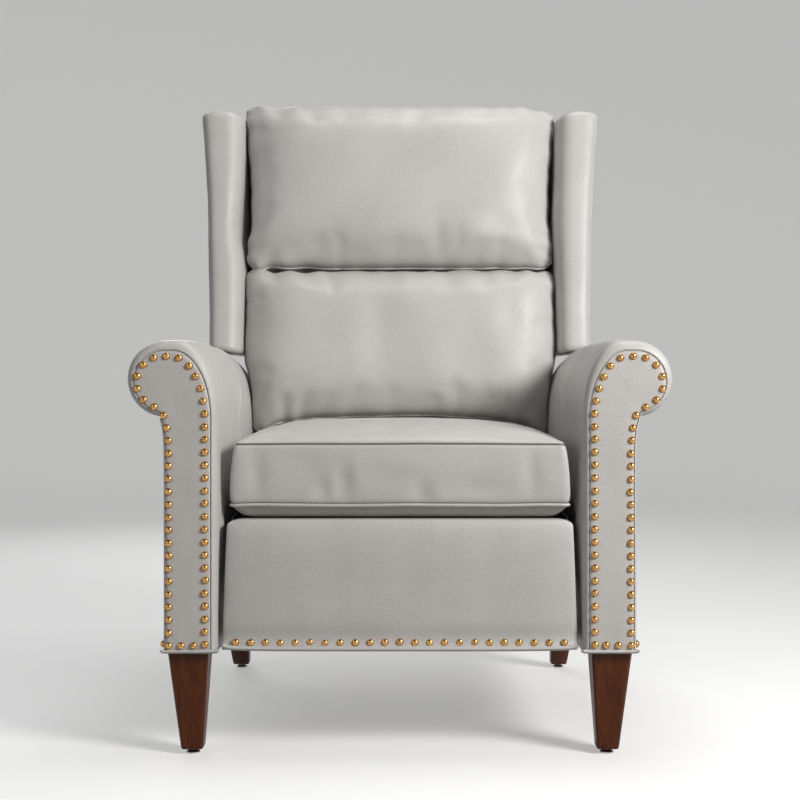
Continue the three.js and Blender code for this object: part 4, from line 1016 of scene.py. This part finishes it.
def pillow_shell(name, low, high, half_width_at, corner, sag, side_power, slump, seed):
    """Panel: T = seam + (crown - seam) * ((1 - a^power) * (1 - b^3))^0.42. Gathers: a sine along each
    edge, times an exponential of the distance from it. Dents: bell curves in X and S."""
    a, b = even_grid(62, 44)
    middle, half_height = (low + high) / 2, (high - low) / 2
    x, s = rounded(a, b, pillow_half_width, half_height, corner)
    x = x / pillow_half_width * half_width_at(s / half_height)
    full = ((1 - np.abs(a) ** side_power) * (1 - np.abs(b) ** 3)) ** 0.42
    t = pillow_seam_t + (pillow_crown_t - pillow_seam_t) * full
    from_side = (1 - np.abs(a)) * pillow_half_width
    from_end = (1 - np.abs(b)) * half_height
    spot = np.stack([x, t * 0, s], axis=-1)
    drift = 2.4 * ripple(spot, 120, seed)
    strength = 0.45 + 0.75 * np.abs(a * b) ** 1.5
    along_ends = strength * np.sin(x * 2 * np.pi / 56 + drift) * np.exp(-from_end / 30)
    along_sides = strength * np.sin(s * 2 * np.pi / 52 + drift * 1.3) * np.exp(-from_side / 26)
    t = t - 2.4 * (along_ends + along_sides) - 2.2 * ripple(spot, 150, seed + 1) * full
    t = dented(t, x, middle + s, pillow_dents[name])
    wave = smooth_through(side_wave[0], side_wave[1], b)
    top_wave = smooth_through(end_wave[0], end_wave[1], np.abs(a)) * (0.7 - 0.3 * np.sign(a))
    s = s + np.sign(b) * (1.2 * along_ends + top_wave) * np.abs(b) ** 8
    x = x + np.sign(a) * (along_sides + wave) * np.abs(a) ** 8
    s = s - sag * (np.abs(x) / 275) ** 3 * np.clip(-b, 0, 1) ** 3
    s = s - slump * np.clip((x - 235) / 65, 0, 1) ** 2 * np.clip(b, 0, 1) ** 3
    panel = np.stack([x, t, middle + s], axis=-1)
    edge = edge_points(panel)
    rings = np.stack([np.stack([edge[:, 0] * scale, np.full(len(edge), level),
                                middle + (edge[:, 2] - middle) * scale], axis=-1)
                      for scale, level in boxing])
    points, faces = shell(panel, rings)
    return on_back(points), faces, panel


def hold_width(before, after, less, more):
    """Keep a filled cushion's half width within so many millimetres of what it was."""
    low, high = np.maximum(np.abs(before[:, 0]) - less, 0), np.abs(before[:, 0]) + more
    after[:, 0] = np.sign(before[:, 0]) * np.clip(np.abs(after[:, 0]), low, high)
    return after


def behind_deck(before, move):
    """The filling may swell forwards and a little sideways, but not back through the deck."""
    normal = np.array([0, math.cos(lean), -math.sin(lean)])
    depth_now = (before - [0, hinge_depth, hinge_height]) @ normal
    towards_rear = np.maximum(0, depth_now + move @ normal - pillow_back_t)
    towards_front = np.minimum(0, depth_now + move @ normal - pillow_limit_t)
    after = before + move - (towards_rear + towards_front)[:, None] * normal
    return hold_width(before, after, 1, 2.5)


def head_width(s):
    """Wider at the top than at the foot, less a bell curve half way up."""
    return 301 + 5 * s - 8 * np.exp(-((s + 0.1) / 0.5) ** 2)


def lumbar_width(s):
    """It fills the space between the arms and is full above them: a smooth step from 280 to 300."""
    rise = np.clip((s + 0.9) / 0.8, 0, 1)
    return 280 + 20 * rise ** 2 * (3 - 2 * rise) - 2 * np.clip(s, 0, 1) ** 4


def seam_cord(name, piece, numbers, radius, body):
    """A thin cord laid on a seam: a ring of numbered points, read back from the filled mesh."""
    path = spaced(unplaced(metres_of(piece.data))[numbers], 7, closed=True)
    heading = np.roll(path, -1, axis=0) - np.roll(path, 1, axis=0)
    heading /= np.linalg.norm(heading, axis=1, keepdims=True)
    away = path - path.mean(axis=0)
    away -= (away * heading).sum(axis=1, keepdims=True) * heading
    away /= np.linalg.norm(away, axis=1, keepdims=True)
    third = np.cross(heading, away)
    turn = np.linspace(0, 2 * np.pi, 8, endpoint=False)
    grid = path[:, None, :] + radius * (np.cos(turn)[None, :, None] * away[:, None, :]
                                        + np.sin(turn)[None, :, None] * third[:, None, :])
    dress(grid_piece(name, np.concatenate([grid, grid[:1]]), leather), body, "leather")


for name, *shape in (
        ("head_pillow", 440.5, 789, head_width, 18, 0, 4, 17, 101),
        ("lumbar_pillow", 147, 443.5, lumbar_width, 14, 26, 6, 6, 111)):
    pillow_points, pillow_faces, pillow_panel = pillow_shell(name, *shape)
    pillow = new_piece(f"{name}_leather", pillow_points, pillow_faces, leather, crease_degrees=180)
    fill_with_air(pillow, 5, 7, behind_deck)
    smoother(pillow)
    dress(pillow, "back", "leather", name, fill=0.85)
    seam_cord(f"{name}_welt", pillow, edge_of(pillow_panel), 2.1, "back")

# %% [markdown]
# The seat is a box cushion: a crowned top, a boxing that bows out a little and a lower seam that
# stands on the springs. Where people get in and out, the front of the boxing is slack: a few broad,
# shallow dents are pressed into it. Each dent is a bell curve.

# %% Seat cushion
seat_half_x, seat_half_y, seat_middle_y = 257, 277, 289
seat_seam_high, seat_seam_low, seat_crown = 489, 392, 516.5
seam_ring_numbers, low_seam_ring = (0, 1, 13), 15
still_below, lowest, nearest, widest = 372, 370.7, 6.5, 270
seat_boxing = np.array([[487.6, 1.6], [486.3, 2.2], [485, 1.2], [483.4, 0], [478, 0], [468, 0], [455, 0],
                        [443, 0], [430, 0], [418, 0], [407, 0], [400, 0.2], [397.2, 1.2], [395.4, 2.2],
                        [394, 1.6], [seat_seam_low, 0]])
seat_underside = ((0.988, 389), (0.968, 384), (0.942, 378), (0.912, 373), (0.88, 371), (0.7, 370.8),
                  (0.4, 370.8), (0, 370.8))
dents = np.array([[-88, 424, 12, 24, 5.5], [-104, 418, 7, 20, -2.2], [-118, 414, 14, 15, 5],
                  [-152, 452, 34, 22, 2.5], [-70, 440, 8, 22, -1.8], [34, 412, 12, 18, 4.5],
                  [52, 414, 8, 16, -2], [-20, 436, 40, 16, 2], [120, 418, 44, 12, 3],
                  [204, 440, 12, 34, 3], [-222, 440, 14, 36, 3.5], [40, 474, 90, 8, 1.6]])


def seat_shell():
    """Panel: height = seam + (crown - seam) * ((1 - a^2.4) * (1 - b^2.4))^0.5. The boxing scales the
    border from the top seam's size to the bottom seam's, with a bow of a quarter ellipse."""
    a, b = even_grid(58, 62)
    x, y = rounded(a, b, seat_half_x, seat_half_y, 8)
    full = ((1 - np.abs(a) ** 2.4) * (1 - np.abs(b) ** 2.4)) ** 0.5
    spot = np.stack([x, y, 0 * x], axis=-1)
    z = seat_seam_high + (seat_crown - seat_seam_high) * full
    z = z + full * (1.8 * ripple(spot, 190, 121) + 0.9 * ripple(spot, 90, 122))
    panel = np.stack([x, seat_middle_y + y, z], axis=-1)
    edge = edge_points(panel)
    away = np.stack([edge[:, 0] / seat_half_x, (edge[:, 1] - seat_middle_y) / seat_half_y], axis=-1)
    way = np.sign(away) * np.abs(away) ** 8
    rings = []
    for height, groove in seat_boxing:
        share = (seat_seam_high - height) / (seat_seam_high - seat_seam_low)
        bow = 4 * (share * (1 - share) * 4) ** 0.6 + 7.5 * share - groove
        rings.append(np.stack([edge[:, 0] + way[:, 0] * bow,
                               edge[:, 1] + way[:, 1] * (bow - 7 * share),
                               np.full(len(edge), height)], axis=-1))
    foot = rings[-1]
    for scale, height in seat_underside:
        rings.append(np.stack([foot[:, 0] * scale, seat_middle_y + (foot[:, 1] - seat_middle_y) * scale,
                               np.full(len(edge), height)], axis=-1))
    points, faces = shell(panel, np.stack(rings))
    return points, faces, panel


def clear_of_springs(before, move):
    """The underside stays on the springs and the sides stay clear of the arms."""
    after = before + move
    flat = before[:, 2] < still_below
    after[flat] = before[flat]
    after[:, 2] = np.maximum(after[:, 2], lowest)
    after[:, 1] = np.maximum(after[:, 1], nearest)
    after = hold_width(before, after, 1, 3.5)
    after[:, 0] = np.clip(after[:, 0], -widest, widest)
    return after


seat_points, seat_faces, seat_panel = seat_shell()
around, panel_count = len(edge_of(seat_panel)), seat_panel.shape[0] * seat_panel.shape[1]
# seam weight on the rings at the top seam and at the low seam: painted shade along the seams
seat_seam = np.zeros(len(seat_points))
for number in seam_ring_numbers:
    seat_seam[panel_count + number * around:panel_count + (number + 1) * around] = 1
seat = new_piece("seat_leather", seat_points, seat_faces, leather, crease_degrees=180, seam=seat_seam)
fill_with_air(seat, 4, 6, clear_of_springs)

seat_now = unplaced(metres_of(seat.data))
front_share = np.clip((60 - seat_now[:, 1]) / 40, 0, 1)
press = dented(np.zeros(len(seat_now)), seat_now[:, 0], seat_now[:, 2], dents)
seat_now[:, 1] += press * front_share
reshape_piece(seat, seat_now)
smoother(seat)
dress(seat, "seat", "leather", "seat_cushion", fill=0.85)
low_seam = panel_count + low_seam_ring * around + np.arange(around)
seam_cord("seat_low_welt", seat, low_seam, 2.4, "seat")

# %% [markdown]
# ## Footrest, outside back and rear panel
#
# These covers are pulled tight over boards, so they are only slightly crowned. The footrest carries a
# row of nails above the lip of its lower edge. The leather also wraps the top of the back frame and
# the sides that show between the wings and the arms.

# %% Footrest cover
foot_middle_z, foot_half_z = 267.75, 101.25


def tight_cover(a, b, half_a, half_b, corner, crown, power=6):
    """A board's cover: rounded outline, and a swell of crown * ((1 - a^p) * (1 - b^p))^0.4."""
    x, y = rounded(a, b, 1, 1, corner)
    full = ((1 - np.abs(a) ** power) * (1 - np.abs(b) ** power)) ** 0.4
    return x * half_a, y * half_b, crown * full


def footrest_cover():
    """The front swells forwards and the sides widen downwards. The nails pull a valley across it, a
    bell curve of height, and the edge below them flares out. The rings fold round to the board."""
    a, b = even_grid(70, 34, 1.8)
    x, z, swell = tight_cover(a, np.where(b < 0, 0.93 * b, b), 1, foot_half_z, 0.09, 9)
    z = np.where(b < 0, z / 0.93, z)
    x = x * (272.25 - 4.25 * z / foot_half_z)
    spot = np.stack([x, 0 * x, z], axis=-1)
    soft = (ripple(spot, 130, 131) + 0.5 * ripple(spot, 55, 132)) * swell / 9
    height = foot_middle_z + z
    pull = 3.2 * np.exp(-((height - 186) / 14) ** 2) - 3 * np.exp(-((height - 167) / 7) ** 2)
    pull -= 5 * np.exp(-((height - 325) / 65) ** 2)
    panel = np.stack([x, 17 - swell + soft + pull, height], axis=-1)
    return folded(panel, ((1, 20), (1, 24), (1, 31), (0.999, 36), (0.99, 36.8)), foot_middle_z, (0.6, 0))


footrest_points, footrest_faces = footrest_cover()
footrest = new_piece("footrest_leather", footrest_points, footrest_faces, leather)
smoother(footrest)
dress(footrest, "footrest", "leather", "footrest_cover", fill=1)
nail_count, nail_y, nail_z = 23, 12.4, 178.4
nail_places = np.stack([np.linspace(-254.5, 254.5, nail_count), np.full(nail_count, nail_y),
                        np.full(nail_count, nail_z)], axis=-1)
dress(nail_row("footrest_nails", nail_places, (0, -1, 0), 141), "footrest", "brass")
lip_grid = carried(lip_path(274.5, 0, 11, 168.6, 6.5), (4.6, 3.8))
dress(grid_piece("footrest_lip", lip_grid, leather), "footrest", "leather")

# %% Outside back and rear panel
back_low, back_high, shoulder_s = -30, 800, 333
back_middle = (back_low + back_high) / 2


def outside_back():
    """Half width: narrow between the arms, a smooth step at the shoulder, then the wings' flare; the
    top corners follow a circle of 40."""
    a, b = even_grid(56, 60, 1.7)
    s = back_middle + b * (back_high - back_low) / 2
    step = np.clip((s - shoulder_s + 16) / 20, 0, 1)
    flare = np.clip((s - shoulder_s) / (back_high - shoulder_s), 0, 1) ** 1.7
    into_corner = np.clip((s - back_high + 40) / 40, 0, 1)
    half = 267 + 87 * step ** 2 * (3 - 2 * step) + 26 * flare - 40 * (1 - np.sqrt(1 - into_corner ** 2))
    full = ((1 - np.abs(a) ** 8) * (1 - np.abs(b) ** 10)) ** 0.4
    x = a * half
    spot = np.stack([x, 0 * x, s], axis=-1)
    t = 33 + 5 * full + full * (0.9 * ripple(spot, 230, 151) + 0.4 * ripple(spot, 90, 152))
    panel = np.stack([x, t, s], axis=-1)
    points, faces = folded(panel, ((1, 30), (1, 27), (0.996, 25.7)), back_middle, (0.9, 0))
    return on_back(points), faces


back_points, back_faces = outside_back()
outside = new_piece("outside_back_leather", back_points, back_faces, leather)
dress(outside, "back", "leather", "outside_back", fill=1)


def wrapped(low, high, swell, corner, seed):
    """A leather wrap over a board's edge: a thin box between two corners whose top is crowned by
    swell * ((1 - a^6) * (1 - b^6))^0.4 and rounded along its border. Its rows run along X, T."""
    a, b = even_grid(40, 12, 1.8)
    half_x, half_t, thick = np.subtract(high, low) / 2
    x, t = rounded(a, b, half_x, half_t, corner)
    full = ((1 - np.abs(a) ** 6) * (1 - np.abs(b) ** 6)) ** 0.4
    soft = 0.4 * ripple(np.stack([x, t, x * 0], axis=-1), 60, seed) * full
    panel = np.stack([x, t, thick + swell * full + soft], axis=-1)
    rings = [edge_points(panel) * [1, 1, 0] + [0, 0, level * thick] for level in (0.2, -1)]
    rings += [rings[-1] * [share, share, 1] for share in (0.7, 0)]
    points, faces = shell(panel, np.stack(rings))
    return points + np.add(low, high) / 2, faces


top_points, top_faces = wrapped((-263.6, -42, 782.4), (263.6, 25.2, 785), 5, 6, 161)
top_wrap = new_piece("back_top_leather", on_back(top_points), top_faces, leather)
dress(top_wrap, "back", "leather")
side_wrap_s = 276
for word, side in sides:
    side_points, side_faces = wrapped((-40, -30, 264.6), (40, 24.5, 265.8), 1.2, 5, 163 + side)
    turned = np.stack([side * side_points[:, 2], side_points[:, 1],
                       side_wrap_s + side_points[:, 0]], axis=-1)
    side_wrap = new_piece(f"back_side_leather_{word}", on_back(turned), side_faces, leather)
    dress(side_wrap, "back", "leather")


rear_low_y, rear_middle_z, rear_slope = 727.5, 241, math.tan(math.radians(14))


def rear_panel():
    """A leaning board: depth = low edge - slope * height above it, with a slight swell."""
    a, b = even_grid(40, 14, 1.8)
    x, z, swell = tight_cover(a, b, 282.6, 77, 0.04, 2.2)
    height = rear_middle_z + z
    outer = rear_low_y - (height - arm_bottom) * rear_slope
    panel = np.stack([x, outer + swell, height], axis=-1)
    rings = [edge_points(panel) - [0, inset, 0] for inset in (2, 6, 9.5)]
    middle = rings[-1].mean(axis=0)
    rings += [middle + (rings[-1] - middle) * share for share in (0.7, 0)]
    return shell(panel, np.stack(rings))


rear_points, rear_faces = rear_panel()
rear = new_piece("rear_panel_leather", rear_points, rear_faces, leather)
dress(rear, "base", "leather", "rear_panel", fill=1)

# %% [markdown]
# ## Legs, glides and springs
#
# The legs are square in plan with chamfered edges: a ring of eight corners, scaled along the leg.
# Steel wire is a circle carried along the spring's path.

# %% Legs
leg_high, leg_low, leg_chamfer = 163.7, 8.3, 3.2
glide_profile = np.array([[0, 0], [9.8, 0], [11, 1], [11, 2.2], [9.2, 3.9], [5, 5.4], [4.4, 8], [0, 8]])


def square_ring(half_x, half_y, radius):
    """A rectangle with chamfered corners: both ends of a quarter circle about each corner's centre."""
    turn = np.radians([0.0, 90.0])
    corners = []
    for quarter, (sign_x, sign_y) in enumerate(((1, 1), (-1, 1), (-1, -1), (1, -1))):
        angle = turn + quarter * math.pi / 2
        corners.append(np.stack([sign_x * (half_x - radius) + radius * np.cos(angle),
                                 sign_y * (half_y - radius) + radius * np.sin(angle)], axis=-1))
    return np.vstack(corners)


def leg(side, top, foot, curve):
    """Each ring mixes the top and the foot by height; its depth follows share ** curve, so that the
    rear legs sweep back. The foot's edge is eased and both ends are closed."""
    rows = []
    plan = [(0, 0)] + [(1, share) for share in np.linspace(0, 1, 15)] + [(0.93, 1), (0.5, 1), (0, 1)]
    for scale, share in plan:
        x, y, wide, deep = ((1 - part) * start + part * end for start, end, part in
                            zip(top, foot, (share, share ** curve, share, share)))
        ring = square_ring(wide / 2, deep / 2, leg_chamfer) * scale
        height = leg_high + (leg_low - leg_high) * share
        if scale == 1 and share == 1:
            height += 1.5
        rows.append(np.stack([side * x + ring[:, 0], y + ring[:, 1],
                              np.full(len(ring), height)], axis=-1))
    return np.stack(rows)


legs = {"front": ((328.8, 42, 63, 57), (325, 47, 34, 34), 1),
        "rear": ((329, 700, 56, 56), (328, 763, 32, 34), 1.7)}
for word, side in sides:
    for spot, (top, foot, curve) in legs.items():
        stand = grid_piece(f"leg_{spot}_{word}_stained", leg(side, top, foot, curve), leg_stain)
        dress(stand, "base", "leg_wood", f"leg_{spot}_{word}")
        glide_grid = lathe(glide_profile, 24) + [side * foot[0], foot[1], 0]
        glide = grid_piece(f"glide_{spot}_{word}_nickel", glide_grid, nickel)
        dress(glide, "base", "glide_metal", f"glide_{spot}_{word}")

# %% Springs
bends, swing, wire_radius = 11, 21.5, 2


def spring_path(start, end, swing_way):
    """A wire that swings from side to side: a sine along the run, squared off at its turns."""
    share = np.linspace(0, 1, bends * 14)
    phase = np.sin(np.pi * ((bends + 1) * share - 0.5))
    window = np.clip(np.minimum(share, 1 - share) * (bends + 1), 0, 1)
    swell = swing * np.sign(phase) * np.abs(phase) ** 0.65 * window ** 2
    run = np.asarray(start, float) + (np.asarray(end, float) - start) * share[:, None]
    return run + swell[:, None] * np.asarray(swing_way, float)


def straight(start, end):
    """Two places joined by a few points."""
    return np.asarray(start, float) + (np.asarray(end, float) - start) * np.linspace(0, 1, 6)[:, None]


def wires(name, paths, up, body, replaced):
    """Every wire is a circle of four millimetres across, carried along its path."""
    points, faces, count = [], [], 0
    for path in paths:
        grid = carried(path, (wire_radius, wire_radius), 8, up)
        points.append(grid.reshape(-1, 3))
        faces.append(grid_faces(*grid.shape[:2], start=count))
        count += grid.shape[0] * grid.shape[1]
    piece = new_piece(name, np.concatenate(points), np.concatenate(faces), spring_wire)
    dress(piece, body, "spring_steel", replaced)


wire_z, wire_t = 368.3, -24
spring_x = (-164.8, -54.8, 54.8, 164.8)
seat_paths = [spring_path((x, 81, wire_z), (x, 584, wire_z), (1, 0, 0)) for x in spring_x]
seat_paths += [straight((-209, y, wire_z), (209, y, wire_z)) for y in (240, 430)]
wires("seat_spring_wire", seat_paths, (0, 0, 1), "seat", "seat_springs")
spring_s = (200, 330, 460, 590)
back_paths = [on_back(spring_path((-232, wire_t, s), (232, wire_t, s), (0, 0, 1))) for s in spring_s]
back_paths += [on_back(straight((x, wire_t, 156), (x, wire_t, 634))) for x in (-110, 110)]
back_paths += [on_back(straight((sign * 228, wire_t, s), (sign * 235.8, wire_t, s)))
               for s in spring_s for sign in (-1, 1)]
wires("back_spring_wire", back_paths, (0, 1, 0.2), "back", "back_springs")
